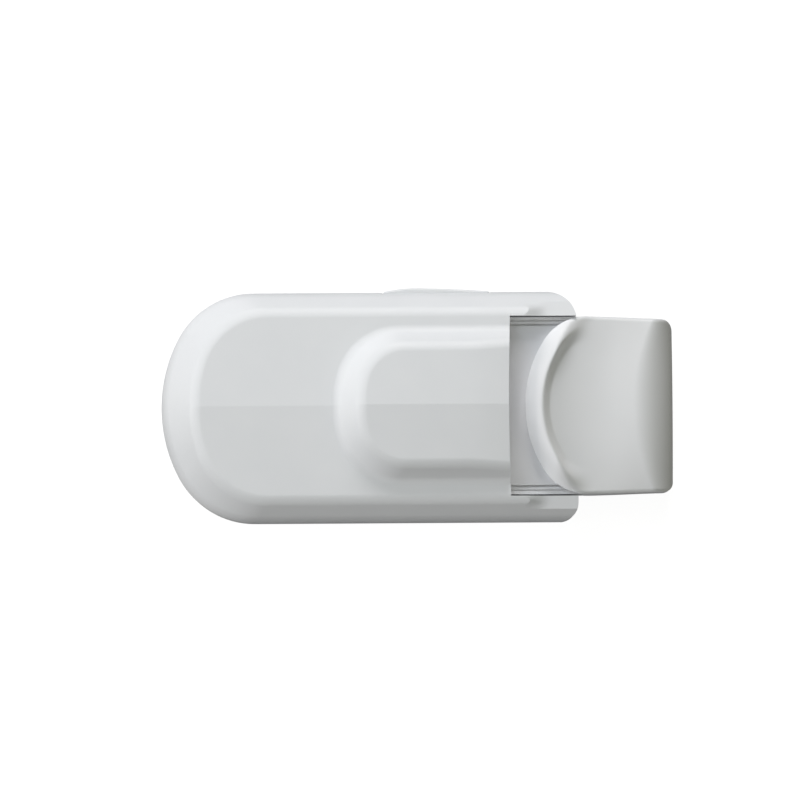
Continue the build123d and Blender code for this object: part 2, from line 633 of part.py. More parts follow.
# ---------------------------------------------------------------- rods, springs, strips, bumpers
spring_start = SEAT_X + WIRE_RADIUS
spring_length = washer_x - WIRE_RADIUS - spring_start
for name, side in SIDES.items():
    with BuildPart() as guide_rod:
        with BuildSketch(Plane.YZ.offset(SEAT_X - SEAT_THICKNESS)):
            with Locations((side * SPRING_Y, SPRING_Z)):
                Circle(ROD_RADIUS)
        extrude(amount=ROD_END_X - SEAT_X + SEAT_THICKNESS)
        chamfer(guide_rod.faces().sort_by(Axis.X)[-1].edges(), ROD_CHAMFER)
        with BuildSketch(Plane.YZ.offset(SEAT_X - SEAT_THICKNESS - ROD_HEAD_LENGTH)):
            with Locations((side * SPRING_Y, SPRING_Z)):
                Circle(ROD_HEAD_RADIUS)
        extrude(amount=ROD_HEAD_LENGTH)
    save(guide_rod, f"guide_rod_{name}")

    with BuildPart() as return_spring:
        with BuildLine() as coil:
            Helix(
                spring_length / SPRING_TURNS, spring_length, SPRING_RADIUS,
                center=(spring_start, side * SPRING_Y, SPRING_Z), direction=(1, 0, 0),
            )
        with BuildSketch(Plane(origin=coil.line @ 0, z_dir=coil.line % 0)):
            Circle(WIRE_RADIUS)
        sweep(path=coil.line, is_frenet=True)
    save(return_spring, f"return_spring_{name}")

    with BuildPart() as wear_strip:
        block(
            (STRIP_REAR, FLANGE_FRONT), sorted((side * STRIP_INNER_Y, side * FLANGE_HALF_WIDTH)),
            (BASE_THICKNESS, CARRIAGE_FLOOR_Z - STOP_GAP),
        )
    save(wear_strip, f"wear_strip_{name}")

    with BuildPart() as front_bumper:
        block(
            (FLANGE_FRONT + STOP_GAP, FLANGE_FRONT + BUMPER_THICKNESS),
            sorted((side * STRIP_INNER_Y, side * FLANGE_HALF_WIDTH)),
            (BASE_THICKNESS, FLANGE_TOP_Z),
        )
    save(front_bumper, f"front_bumper_{name}")

    rear_bumper_x = STOP_RIB_X + STOP_RIB_THICKNESS / 2
    rear_bumper_inner_y = STOP_RIB_Y - REAR_BUMPER_HALF_WIDTH
    rear_bumper_outer_y = STOP_RIB_Y + REAR_BUMPER_HALF_WIDTH
    with BuildPart() as rear_bumper:
        block(
            (rear_bumper_x, CARRIAGE_REAR - TRAVEL - STOP_GAP),
            sorted((side * rear_bumper_inner_y, side * rear_bumper_outer_y)),
            (BASE_THICKNESS, POST_TOP_Z),
        )
        fillet(rear_bumper.edges().filter_by(Axis.Z).group_by(Axis.X)[-1], REAR_BUMPER_FILLET)
    save(rear_bumper, f"rear_bumper_{name}")

# ---------------------------------------------------------------- side lock button
with BuildPart() as lock_button:
    with BuildSketch(Plane.XY.offset(BUTTON_BOTTOM_Z)):
        with BuildLine():
            Spline(
                (BUTTON_LEFT, BUTTON_EDGE_Y), (BUTTON_CREST_X, BUTTON_CREST_Y), (BUTTON_RIGHT, BUTTON_EDGE_Y)
            )
            Polyline(
                (BUTTON_RIGHT, BUTTON_EDGE_Y), (BUTTON_RIGHT, BUTTON_FLANGE_Y),
                (BUTTON_LEFT, BUTTON_FLANGE_Y), (BUTTON_LEFT, BUTTON_EDGE_Y),
            )
        make_face()
    extrude(amount=BUTTON_TOP_Z - BUTTON_BOTTOM_Z)
    block(
        (BUTTON_LEFT - BUTTON_FLANGE_REACH, BUTTON_RIGHT + BUTTON_FLANGE_REACH),
        (BUTTON_FLANGE_Y, BUTTON_FLANGE_OUTER_Y - STOP_GAP), (BUTTON_BOTTOM_Z, BUTTON_FLANGE_TOP_Z),
    )
    block(
        (TOOTH_X - TOOTH_WIDTH / 2, TOOTH_X + TOOTH_WIDTH / 2), (BACK_RIB_Y, BUTTON_FLANGE_Y),
        (TOOTH_BOTTOM_Z, TOOTH_BOTTOM_Z + TOOTH_HEIGHT),
    )
save(lock_button, "lock_button")

# ---------------------------------------------------------------- leaf springs of the button
leaf_back_y = BACK_RIB_Y + BACK_RIB_THICKNESS
leaf_front_y = BUTTON_FLANGE_Y - LEAF_THICKNESS
leaf_ends = [
    (BUTTON_LEFT, TOOTH_X - TOOTH_WIDTH / 2 - LEAF_TOOTH_GAP),
    (TOOTH_X + TOOTH_WIDTH / 2 + LEAF_TOOTH_GAP, BUTTON_RIGHT),
]
with BuildPart() as button_springs:
    for start_x, end_x in leaf_ends:
        middle_x = (start_x + end_x) / 2
        with BuildSketch(Plane.XY.offset(TOOTH_BOTTOM_Z)):
            with BuildLine():
                ThreePointArc((start_x, leaf_back_y), (middle_x, leaf_front_y), (end_x, leaf_back_y))
                Line((end_x, leaf_back_y), (end_x, leaf_back_y + LEAF_THICKNESS))
                ThreePointArc(
                    (end_x, leaf_back_y + LEAF_THICKNESS), (middle_x, BUTTON_FLANGE_Y),
                    (start_x, leaf_back_y + LEAF_THICKNESS),
                )
                Line((start_x, leaf_back_y + LEAF_THICKNESS), (start_x, leaf_back_y))
            make_face()
        extrude(amount=LEAF_HEIGHT)
save(button_springs, "button_springs")
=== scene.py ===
"""Finished look of a stair gate latch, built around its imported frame. Sizes are in metres.

The latch lies on its mounting face. +X runs along the slide to the latching nose, +Z comes out of
the front, and +Y points to the long edge that carries the side button.
"""
import logging
import math
from contextlib import contextmanager
from dataclasses import dataclass, field
from enum import Enum
from typing import Callable, Iterator

import bmesh
import bpy
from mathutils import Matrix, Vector


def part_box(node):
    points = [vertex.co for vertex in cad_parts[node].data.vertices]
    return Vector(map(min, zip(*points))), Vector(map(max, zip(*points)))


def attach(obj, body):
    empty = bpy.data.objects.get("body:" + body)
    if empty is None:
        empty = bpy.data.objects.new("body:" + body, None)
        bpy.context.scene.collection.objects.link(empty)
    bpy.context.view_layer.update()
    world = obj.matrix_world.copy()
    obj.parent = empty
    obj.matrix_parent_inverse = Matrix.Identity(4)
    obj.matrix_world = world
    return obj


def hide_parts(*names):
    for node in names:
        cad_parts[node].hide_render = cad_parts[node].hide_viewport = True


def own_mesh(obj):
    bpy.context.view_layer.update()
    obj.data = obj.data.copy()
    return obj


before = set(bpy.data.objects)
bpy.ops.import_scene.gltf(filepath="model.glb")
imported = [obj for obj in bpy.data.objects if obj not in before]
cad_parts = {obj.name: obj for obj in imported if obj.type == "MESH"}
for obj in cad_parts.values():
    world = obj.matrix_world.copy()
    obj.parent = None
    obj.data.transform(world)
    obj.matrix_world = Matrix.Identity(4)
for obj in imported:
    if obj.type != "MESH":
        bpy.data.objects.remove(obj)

logging.basicConfig(level=logging.INFO, format="%(message)s")
log = logging.getLogger("gate_latch")

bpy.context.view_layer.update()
FAR = 0.08
CLEAR = 0.001
HAIR = 0.00002
MERGE = 1e-6

Point = tuple[float, float]
Range = tuple[float, float]


class Cut(Enum):
    """What a boolean does with its second shape."""

    REMOVE = "DIFFERENCE"
    JOIN = "UNION"
    KEEP_COMMON = "INTERSECT"


class Side(Enum):
    """The two long sides of the latch, by the sign of their Y."""

    UPPER = 1
    LOWER = -1


# --------------------------------------------------------------------------- the bench


class Bench:
    """Modelling steps that several pieces share, all done with Blender's own operators."""

    @staticmethod
    def pick(piece: bpy.types.Object) -> None:
        """Makes the piece the only selected and the active object.

        Args:
            piece: the object to work on.
        """
        bpy.ops.object.select_all(action="DESELECT")
        piece.select_set(True)
        bpy.context.view_layer.objects.active = piece

    @staticmethod
    @contextmanager
    def editing(piece: bpy.types.Object) -> Iterator[None]:
        """Opens the piece in edit mode with nothing selected, and closes it again.

        Args:
            piece: the mesh object to edit.
        """
        Bench.pick(piece)
        bpy.ops.object.mode_set(mode="EDIT")
        bpy.ops.mesh.select_all(action="DESELECT")
        yield
        bpy.ops.object.mode_set(mode="OBJECT")

    @staticmethod
    def block(name: str, x: Range, y: Range, z: Range) -> bpy.types.Object:
        """Adds a box between two limits on each axis.

        Args:
            name: the object's name.
            x: its lowest and highest X.
            y: its lowest and highest Y.
            z: its lowest and highest Z.

        Returns:
            The box, with its place in its mesh.
        """
        middle = [(low + high) / 2 for low, high in (x, y, z)]
        bpy.ops.object.select_all(action="DESELECT")
        bpy.ops.mesh.primitive_cube_add(size=1, location=middle)
        piece = bpy.context.active_object
        piece.name = name
        piece.scale = [high - low for low, high in (x, y, z)]
        bpy.ops.object.transform_apply(location=True, rotation=True, scale=True)
        return piece

    @staticmethod
    def plate(name: str, points: list[Point], place: Callable[[Point], Vector]) -> bpy.types.Object:
        """Adds a flat face with the given outline.

        Args:
            name: the object's name.
            points: the outline's corners in its own plane.
            place: turns a corner into a point in space.

        Returns:
            The face, as a mesh object.
        """
        bpy.ops.object.select_all(action="DESELECT")
        bpy.ops.mesh.primitive_circle_add(
            vertices=len(points), radius=1, fill_type="NGON", location=(0, 0, 0)
        )
        piece = bpy.context.active_object
        piece.name = name
        for vertex, point in zip(piece.data.vertices, points):
            vertex.co = place(point)
        return piece

    @staticmethod
    def prism(name: str, profile: list[Point], y: Range) -> bpy.types.Object:
        """Adds a bar whose section is drawn in the XZ plane.

        Args:
            name: the object's name.
            profile: the section's corners as (x, z).
            y: where the bar starts and ends along Y.

        Returns:
            The bar.
        """
        piece = Bench.plate(name, profile, lambda p: Vector((p[0], y[0], p[1])))
        with Bench.editing(piece):
            bpy.ops.mesh.select_all(action="SELECT")
            bpy.ops.mesh.extrude_region_move(TRANSFORM_OT_translate={"value": (0, y[1] - y[0], 0)})
            bpy.ops.mesh.select_all(action="SELECT")
            bpy.ops.mesh.normals_make_consistent(inside=False)
        return piece

    @staticmethod
    def slab(name: str, outline: list[Point], z: Range) -> bpy.types.Object:
        """Adds a flat bar whose outline is drawn in the XY plane.

        Args:
            name: the object's name.
            outline: the corners as (x, y).
            z: its lowest and highest Z.

        Returns:
            The bar.
        """
        piece = Bench.plate(name, outline, lambda p: Vector((p[0], p[1], z[0])))
        with Bench.editing(piece):
            bpy.ops.mesh.select_all(action="SELECT")
            bpy.ops.mesh.extrude_region_move(TRANSFORM_OT_translate={"value": (0, 0, z[1] - z[0])})
            bpy.ops.mesh.select_all(action="SELECT")
            bpy.ops.mesh.normals_make_consistent(inside=False)
        return piece

    @staticmethod
    def rod(name: str, start: Vector, end: Vector, radius: float, corners: int = 32) -> bpy.types.Object:
        """Adds a round bar between two points on a line along X, Y or Z.

        Args:
            name: the object's name.
            start: the middle of one end.
            end: the middle of the other end.
            radius: its radius.
            corners: how many flats stand for the circle.

        Returns:
            The bar, with its place in its mesh.
        """
        along = end - start
        turn = along.to_track_quat("Z", "Y").to_euler()
        bpy.ops.object.select_all(action="DESELECT")
        bpy.ops.mesh.primitive_cylinder_add(
            vertices=corners, radius=radius, depth=along.length, location=(start + end) / 2, rotation=turn
        )
        piece = bpy.context.active_object
        piece.name = name
        bpy.ops.object.transform_apply(location=True, rotation=True, scale=True)
        return piece

    @staticmethod
    def combine(piece: bpy.types.Object, other: bpy.types.Object, cut: Cut) -> None:
        """Cuts one shape with another, or joins them, and throws the second one away.

        Args:
            piece: the shape that stays.
            other: the shape that is used up.
            cut: what to do with the second shape.
        """
        Bench.pick(piece)
        bpy.ops.object.modifier_add(type="BOOLEAN")
        modifier = piece.modifiers[-1]
        modifier.operation = cut.value
        modifier.solver = "EXACT"
        modifier.object = other
        bpy.ops.object.modifier_apply(modifier=modifier.name)
        bpy.data.objects.remove(other)

    @staticmethod
    def slice_above(piece: bpy.types.Object, point: Vector, normal: Vector) -> None:
        """Cuts off what lies on the normal's side of a plane, and closes the cut.

        Args:
            piece: the mesh to cut.
            point: a point on the plane.
            normal: the plane's normal, pointing at what goes.
        """
        with Bench.editing(piece):
            bpy.ops.mesh.select_all(action="SELECT")
            bpy.ops.mesh.bisect(
                plane_co=point, plane_no=normal, use_fill=True, clear_outer=True, threshold=MERGE
            )

    @staticmethod
    def bevel(
        piece: bpy.types.Object, width: float, steps: int, chosen: Callable[[bmesh.types.BMEdge], bool]
    ) -> None:
        """Rounds the edges that a test chooses.

        Args:
            piece: the mesh to work on.
            width: how far the rounding reaches from each edge.
            steps: how many faces make up the rounding.
            chosen: says yes to an edge with two faces that should be rounded.
        """
        with Bench.editing(piece):
            bpy.ops.mesh.select_mode(type="EDGE")
            mesh = bmesh.from_edit_mesh(piece.data)
            edges = [e for e in mesh.edges if len(e.link_faces) == 2 and chosen(e)]
            for edge in edges:
                edge.select_set(True)
            bmesh.update_edit_mesh(piece.data)
            if edges:
                bpy.ops.mesh.bevel(
                    offset_type="OFFSET", offset=width, segments=steps, profile=0.5,
                    affect="EDGES", clamp_overlap=False, loop_slide=True,
                )
        log.info("%s: %d edges rounded by %.2f mm", piece.name, len(edges), width * 1000)

    @staticmethod
    def finish(
        piece: bpy.types.Object, smooth_under: float,
        crisp: Callable[[bmesh.types.BMEdge], bool] | None = None,
    ) -> None:
        """Merges doubles, shades the mesh smooth under an angle and weighs its normals by area.

        Args:
            piece: the finished mesh.
            smooth_under: edges flatter than this many degrees are shaded smooth.
            crisp: says yes to a flat edge that should still show as a line.
        """
        with Bench.editing(piece):
            bpy.ops.mesh.select_all(action="SELECT")
            bpy.ops.mesh.remove_doubles(threshold=MERGE)
            bpy.ops.mesh.dissolve_degenerate(threshold=MERGE)
        Bench.pick(piece)
        bpy.ops.object.shade_smooth_by_angle(angle=math.radians(smooth_under))
        if crisp:
            with Bench.editing(piece):
                bpy.ops.mesh.select_mode(type="EDGE")
                mesh = bmesh.from_edit_mesh(piece.data)
                for edge in [e for e in mesh.edges if crisp(e)]:
                    edge.select_set(True)
                bmesh.update_edit_mesh(piece.data)
                bpy.ops.mesh.mark_sharp()
        bpy.ops.object.modifier_add(type="WEIGHTED_NORMAL")
        modifier = piece.modifiers[-1]
        modifier.keep_sharp = True
        bpy.ops.object.modifier_apply(modifier=modifier.name)


def fold(edge: bmesh.types.BMEdge) -> float:
    """Degrees between an edge's two faces."""
    return math.degrees(edge.calc_face_angle(0.0))


def middle(edge: bmesh.types.BMEdge) -> Vector:
    """The middle of an edge."""
    return (edge.verts[0].co + edge.verts[1].co) / 2


def smooth(value: float, start: float, end: float) -> float:
    """A soft step from 0 at start to 1 at end."""
    t = min(max((value - start) / (end - start), 0.0), 1.0)
    return t * t * (3.0 - 2.0 * t)


# --------------------------------------------------------------------------- outlines


@dataclass(frozen=True)
class DOutline:
    """A D shape: bowed left end, round corners, straight sides and a squared right end."""

    left: float
    half_width: float
    bow: float
    corner: float
    right: float
    end_corner: float

    def centres(self) -> tuple[float, float, float, float]:
        """Works out where the arcs join.

        Returns:
            The bow's centre X, the corner's centre X and Y, and the angle where they touch.
        """
        bow_x = self.left + self.bow
        corner_y = self.half_width - self.corner
        corner_x = bow_x - math.sqrt((self.bow - self.corner) ** 2 - corner_y**2)
        return bow_x, corner_x, corner_y, math.atan2(corner_y, corner_x - bow_x)

    def points(self, bow_steps: int = 14, corner_steps: int = 16, end_steps: int = 8) -> list[Point]:
        """Lists the outline's corners, from the left end over the upper side and back below.

        Args:
            bow_steps: straight pieces in half of the bow.
            corner_steps: straight pieces in each left corner.
            end_steps: straight pieces in each right corner.

        Returns:
            The corners as (x, y).
        """
        bow_x, corner_x, corner_y, touch = self.centres()
        end_x = self.right - self.end_corner
        end_y = self.half_width - self.end_corner
        arcs = (
            (bow_x, 0.0, self.bow, math.pi, touch, bow_steps),
            (corner_x, corner_y, self.corner, touch, math.pi / 2, corner_steps),
            (end_x, end_y, self.end_corner, math.pi / 2, 0.0, end_steps),
        )
        upper: list[Point] = []
        for x, y, radius, start, end, steps in arcs:
            for i in range(steps + 1):
                angle = start + (end - start) * i / steps
                point = (x + radius * math.cos(angle), y + radius * math.sin(angle))
                if not upper or math.dist(point, upper[-1]) > MERGE:
                    upper.append(point)
        return upper + [(x, -y) for x, y in reversed(upper[1:])]

    def inset(self, gap: float) -> "DOutline":
        """The same shape drawn in by a gap at the sides and the left, with its right end kept."""
        return DOutline(
            self.left + gap, self.half_width - gap, self.bow - gap, self.corner - gap,
            self.right, self.end_corner,
        )

    def ending_at(self, right: float, end_corner: float) -> "DOutline":
        """The same shape with another right end."""
        return DOutline(self.left, self.half_width, self.bow, self.corner, right, end_corner)

    def half_width_at(self, x: float) -> float:
        """Works out half of the shape's width.

        Args:
            x: place along the slide.

        Returns:
            The distance from the middle to the side.
        """
        bow_x, corner_x, corner_y, touch = self.centres()
        touch_x = bow_x + self.bow * math.cos(touch)
        end_x = self.right - self.end_corner
        if x <= touch_x:
            return math.sqrt(max(self.bow**2 - (x - bow_x) ** 2, 0.0))
        if x <= corner_x:
            return corner_y + math.sqrt(max(self.corner**2 - (x - corner_x) ** 2, 0.0))
        if x <= end_x:
            return self.half_width
        return self.half_width - self.end_corner + math.sqrt(max(self.end_corner**2 - (x - end_x) ** 2, 0.0))

    def depth_at(self, x: float, y: float) -> float:
        """Works out how far a point is inside the shape, with its right end left out.

        Args:
            x: place along the slide.
            y: place across it.

        Returns:
            The distance to the bow, the left corner or the side, whichever the point faces.
        """
        bow_x, corner_x, corner_y, touch = self.centres()
        side = abs(y)
        if x >= corner_x:
            return self.half_width - side
        if math.atan2(side, x - bow_x) > touch or side < corner_y:
            return self.bow - math.hypot(x - bow_x, side)
        return self.corner - math.hypot(x - corner_x, side - corner_y)


def loft_solid(
    name: str, low: DOutline, high: DOutline, bottom_z: float, low_z: float, high_z: float
) -> bpy.types.Object:
    """Builds a solid with an upright wall and a sloped band over it.

    Args:
        name: the object's name.
        low: the wall's outline.
        high: the outline at the band's top.
        bottom_z: where the wall starts.
        low_z: where the band starts.
        high_z: where the band ends.

    Returns:
        The closed solid.
    """
    low_points = low.points()
    high_points = high.points()
    piece = Bench.plate(name, low_points, lambda p: Vector((p[0], p[1], bottom_z)))
    with Bench.editing(piece):
        bpy.ops.mesh.select_all(action="SELECT")
        bpy.ops.mesh.extrude_region_move(TRANSFORM_OT_translate={"value": (0, 0, low_z - bottom_z)})
        bpy.ops.mesh.extrude_region_move(TRANSFORM_OT_translate={"value": (0, 0, high_z - low_z)})
        mesh = bmesh.from_edit_mesh(piece.data)
        for vertex in [v for v in mesh.verts if v.select]:
            nearest = min(range(len(low_points)), key=lambda i: math.dist(low_points[i], vertex.co.xy))
            vertex.co = (*high_points[nearest], high_z)
        bmesh.update_edit_mesh(piece.data)
        bpy.ops.mesh.select_all(action="SELECT")
        bpy.ops.mesh.normals_make_consistent(inside=False)
    return piece


def crease(piece: bpy.types.Object, ridge_z: float, slope: float) -> None:
    """Cuts a solid down to a shallow roof with its ridge along X.

    Args:
        piece: the solid.
        ridge_z: the ridge's height.
        slope: how much each half falls per unit of Y.
    """
    for side in Side:
        Bench.slice_above(piece, Vector((0, 0, ridge_z)), Vector((0, side.value * slope, 1)))


# --------------------------------------------------------------------------- finishes


class Shelf:
    """Shader node groups that several finishes use, each made once."""

    made: dict[str, bpy.types.NodeTree] = {}

    @classmethod
    def group(
        cls, name: str, inputs: dict[str, float], outputs: list[str]
    ) -> tuple[bpy.types.NodeTree, bool]:
        """Finds or starts a node group.

        Args:
            name: the group's name.
            inputs: its number inputs and their usual values.
            outputs: its number outputs.

        Returns:
            The group, and whether it is new and still has to be filled.
        """
        if name in cls.made:
            return cls.made[name], False
        tree = bpy.data.node_groups.new(name, "ShaderNodeTree")
        for label, value in inputs.items():
            socket = tree.interface.new_socket(label, in_out="INPUT", socket_type="NodeSocketFloat")
            socket.default_value = value
        for label in outputs:
            tree.interface.new_socket(label, in_out="OUTPUT", socket_type="NodeSocketFloat")
        cls.made[name] = tree
        return tree, True

    @classmethod
    def moulded_grain(cls) -> bpy.types.NodeTree:
        """The fine spark-eroded grain of a moulded surface, with slow waves of shrinkage under it.

        Returns:
            A group that takes the grain's size and gives a height and a patchy mask.
        """
        tree, new = cls.group("moulded_grain", {"Per Metre": 3000.0, "Waviness": 0.4}, ["Height", "Patches"])
        if not new:
            return tree
        add = tree.nodes.new
        link = tree.links.new
        source = add("NodeGroupInput")
        result = add("NodeGroupOutput")
        place = add("ShaderNodeTexCoord")
        fine = add("ShaderNodeTexNoise")
        fine.inputs["Detail"].default_value = 3.0
        fine.inputs["Roughness"].default_value = 0.6
        slow = add("ShaderNodeTexNoise")
        slow.inputs["Scale"].default_value = 70.0
        slow.inputs["Detail"].default_value = 1.0
        mix = add("ShaderNodeMath")
        mix.operation = "MULTIPLY_ADD"
        patches = add("ShaderNodeTexNoise")
        patches.inputs["Scale"].default_value = 130.0
        patches.inputs["Detail"].default_value = 4.0
        link(place.outputs["Object"], fine.inputs["Vector"])
        link(place.outputs["Object"], slow.inputs["Vector"])
        link(place.outputs["Object"], patches.inputs["Vector"])
        link(source.outputs["Per Metre"], fine.inputs["Scale"])
        link(slow.outputs["Fac"], mix.inputs[0])
        link(source.outputs["Waviness"], mix.inputs[1])
        link(fine.outputs["Fac"], mix.inputs[2])
        link(mix.outputs[0], result.inputs["Height"])
        link(patches.outputs["Fac"], result.inputs["Patches"])
        return tree

    @classmethod
    def rubbed_edges(cls) -> bpy.types.NodeTree:
        """Where hands and cloths polish a part: its convex edges, broken up by noise.

        Returns:
            A group that gives a mask, 1 on worn edges.
        """
        tree, new = cls.group("rubbed_edges", {"Amount": 0.5}, ["Wear"])
        if not new:
            return tree
        add = tree.nodes.new
        link = tree.links.new
        source = add("NodeGroupInput")
        result = add("NodeGroupOutput")
        geometry = add("ShaderNodeNewGeometry")
        ramp = add("ShaderNodeMapRange")
        ramp.inputs["From Min"].default_value = 0.51
        ramp.inputs["From Max"].default_value = 0.60
        place = add("ShaderNodeTexCoord")
        noise = add("ShaderNodeTexNoise")
        noise.inputs["Scale"].default_value = 400.0
        noise.inputs["Detail"].default_value = 5.0
        broken = add("ShaderNodeMath")
        broken.operation = "MULTIPLY"
        scaled = add("ShaderNodeMath")
        scaled.operation = "MULTIPLY"
        scaled.use_clamp = True
        link(place.outputs["Object"], noise.inputs["Vector"])
        link(geometry.outputs["Pointiness"], ramp.inputs["Value"])
        link(ramp.outputs["Result"], broken.inputs[0])
        link(noise.outputs["Fac"], broken.inputs[1])
        link(broken.outputs[0], scaled.inputs[0])
        link(source.outputs["Amount"], scaled.inputs[1])
        link(scaled.outputs[0], result.inputs["Wear"])
        return tree


@dataclass(frozen=True)
class Finish:
    """A surface: two shades that drift into each other, a roughness that varies, and a grain."""

    name: str
    colour: tuple[float, float, float]
    second: tuple[float, float, float]
    roughness: Range
    grain_per_metre: float
    grain_depth: float
    metallic: float = 0.0
    specular: float = 0.5
    coat: float = 0.0
    wear: float = 0.3

    def build(self) -> bpy.types.Material:
        """Makes the material.

        Returns:
            The material, with every constant set on the shader's own sockets.
        """
        material = bpy.data.materials.new(self.name)
        material.use_nodes = True
        tree = material.node_tree
        add = tree.nodes.new
        link = tree.links.new
        shader = tree.nodes["Principled BSDF"]
        shader.inputs["Metallic"].default_value = self.metallic
        shader.inputs["Specular IOR Level"].default_value = self.specular
        shader.inputs["Coat Weight"].default_value = self.coat
        grain = add("ShaderNodeGroup")
        grain.node_tree = Shelf.moulded_grain()
        grain.inputs["Per Metre"].default_value = self.grain_per_metre
        worn = add("ShaderNodeGroup")
        worn.node_tree = Shelf.rubbed_edges()
        worn.inputs["Amount"].default_value = self.wear
        tint = add("ShaderNodeMix")
        tint.data_type = "RGBA"
        tint.inputs["A"].default_value = (*self.colour, 1)
        tint.inputs["B"].default_value = (*self.second, 1)
        gloss = add("ShaderNodeMapRange")
        gloss.inputs["From Min"].default_value = 0.3
        gloss.inputs["From Max"].default_value = 0.7
        gloss.inputs["To Min"].default_value = self.roughness[0]
        gloss.inputs["To Max"].default_value = self.roughness[1]
        polished = add("ShaderNodeMath")
        polished.operation = "MULTIPLY_ADD"
        polished.inputs[1].default_value = -0.12
        bump = add("ShaderNodeBump")
        bump.inputs["Strength"].default_value = 0.5
        bump.inputs["Distance"].default_value = self.grain_depth
        link(grain.outputs["Patches"], tint.inputs["Factor"])
        link(tint.outputs["Result"], shader.inputs["Base Color"])
        link(grain.outputs["Patches"], gloss.inputs["Value"])
        link(worn.outputs["Wear"], polished.inputs[0])
        link(gloss.outputs["Result"], polished.inputs[2])
        link(polished.outputs[0], shader.inputs["Roughness"])
        link(grain.outputs["Height"], bump.inputs["Height"])
        link(bump.outputs["Normal"], shader.inputs["Normal"])
        return material


HOUSING_WHITE = Finish("housing_white", (0.80, 0.82, 0.84), (0.83, 0.845, 0.86), (0.48, 0.58), 2600, 0.00001)
# A slightly lighter plastic than the housing, plus painted light: its colour is raised further to make up
# for light that the lamps do not give the paddle.
PADDLE_WHITE_WITH_PAINTED_LIGHT = Finish(
    "paddle_white_with_painted_light", (0.87, 0.885, 0.90), (0.895, 0.905, 0.92), (0.44, 0.54), 3200, 0.000008
)
CARRIAGE_WHITE = Finish("carriage_white", (0.70, 0.71, 0.73), (0.74, 0.75, 0.76), (0.5, 0.6), 1800, 0.00002)
BASE_WHITE = Finish("base_white", (0.74, 0.75, 0.76), (0.78, 0.79, 0.79), (0.45, 0.55), 1600, 0.00002)
TONGUE_NYLON = Finish("tongue_nylon", (0.66, 0.67, 0.66), (0.72, 0.72, 0.70), (0.4, 0.55), 1400, 0.00002)
ACETAL = Finish("acetal", (0.84, 0.83, 0.78), (0.88, 0.87, 0.84), (0.25, 0.35), 2600, 0.000008)
RUBBER = Finish("rubber_black", (0.012, 0.012, 0.013), (0.03, 0.03, 0.032), (0.6, 0.8), 1800, 0.00003)
PAD_RUBBER = Finish("pad_grey", (0.05, 0.05, 0.055), (0.09, 0.09, 0.095), (0.7, 0.9), 1500, 0.00006)
BRASS = Finish(
    "turned_brass", (0.72, 0.52, 0.22), (0.80, 0.62, 0.30), (0.22, 0.36), 3500, 0.00001, metallic=1.0
)
ZINC = Finish(
    "zinc_plate", (0.62, 0.63, 0.66), (0.70, 0.70, 0.70), (0.25, 0.40), 3000, 0.00001, metallic=1.0
)
GROUND_STEEL = Finish(
    "ground_steel", (0.58, 0.58, 0.60), (0.66, 0.66, 0.67), (0.18, 0.30), 6000, 0.000005, metallic=1.0
)
SPRING_WIRE = Finish(
    "spring_wire", (0.45, 0.45, 0.47), (0.56, 0.55, 0.54), (0.25, 0.40), 5000, 0.000008, metallic=1.0
)


def dress(piece: bpy.types.Object, material: bpy.types.Material) -> None:
    """Gives a piece one material all over."""
    piece.data.materials.clear()
    piece.data.materials.append(material)


def hand_over(
    piece: bpy.types.Object, body: str, slot: str, material: bpy.types.Material, *nodes: str
) -> None:
    """Dresses a finished piece and sets it on its body in place of its CAD nodes.

    Args:
        piece: the finished piece.
        body: the CAD body that it moves with.
        slot: the record's material slot; not used.
        material: its finish.
        nodes: the CAD nodes that it stands for.
    """
    dress(piece, material)
    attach(piece, body)
    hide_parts(*nodes)
    log.info("%s: %d faces on %s", piece.name, len(piece.data.polygons), body)


# --------------------------------------------------------------------------- front cover


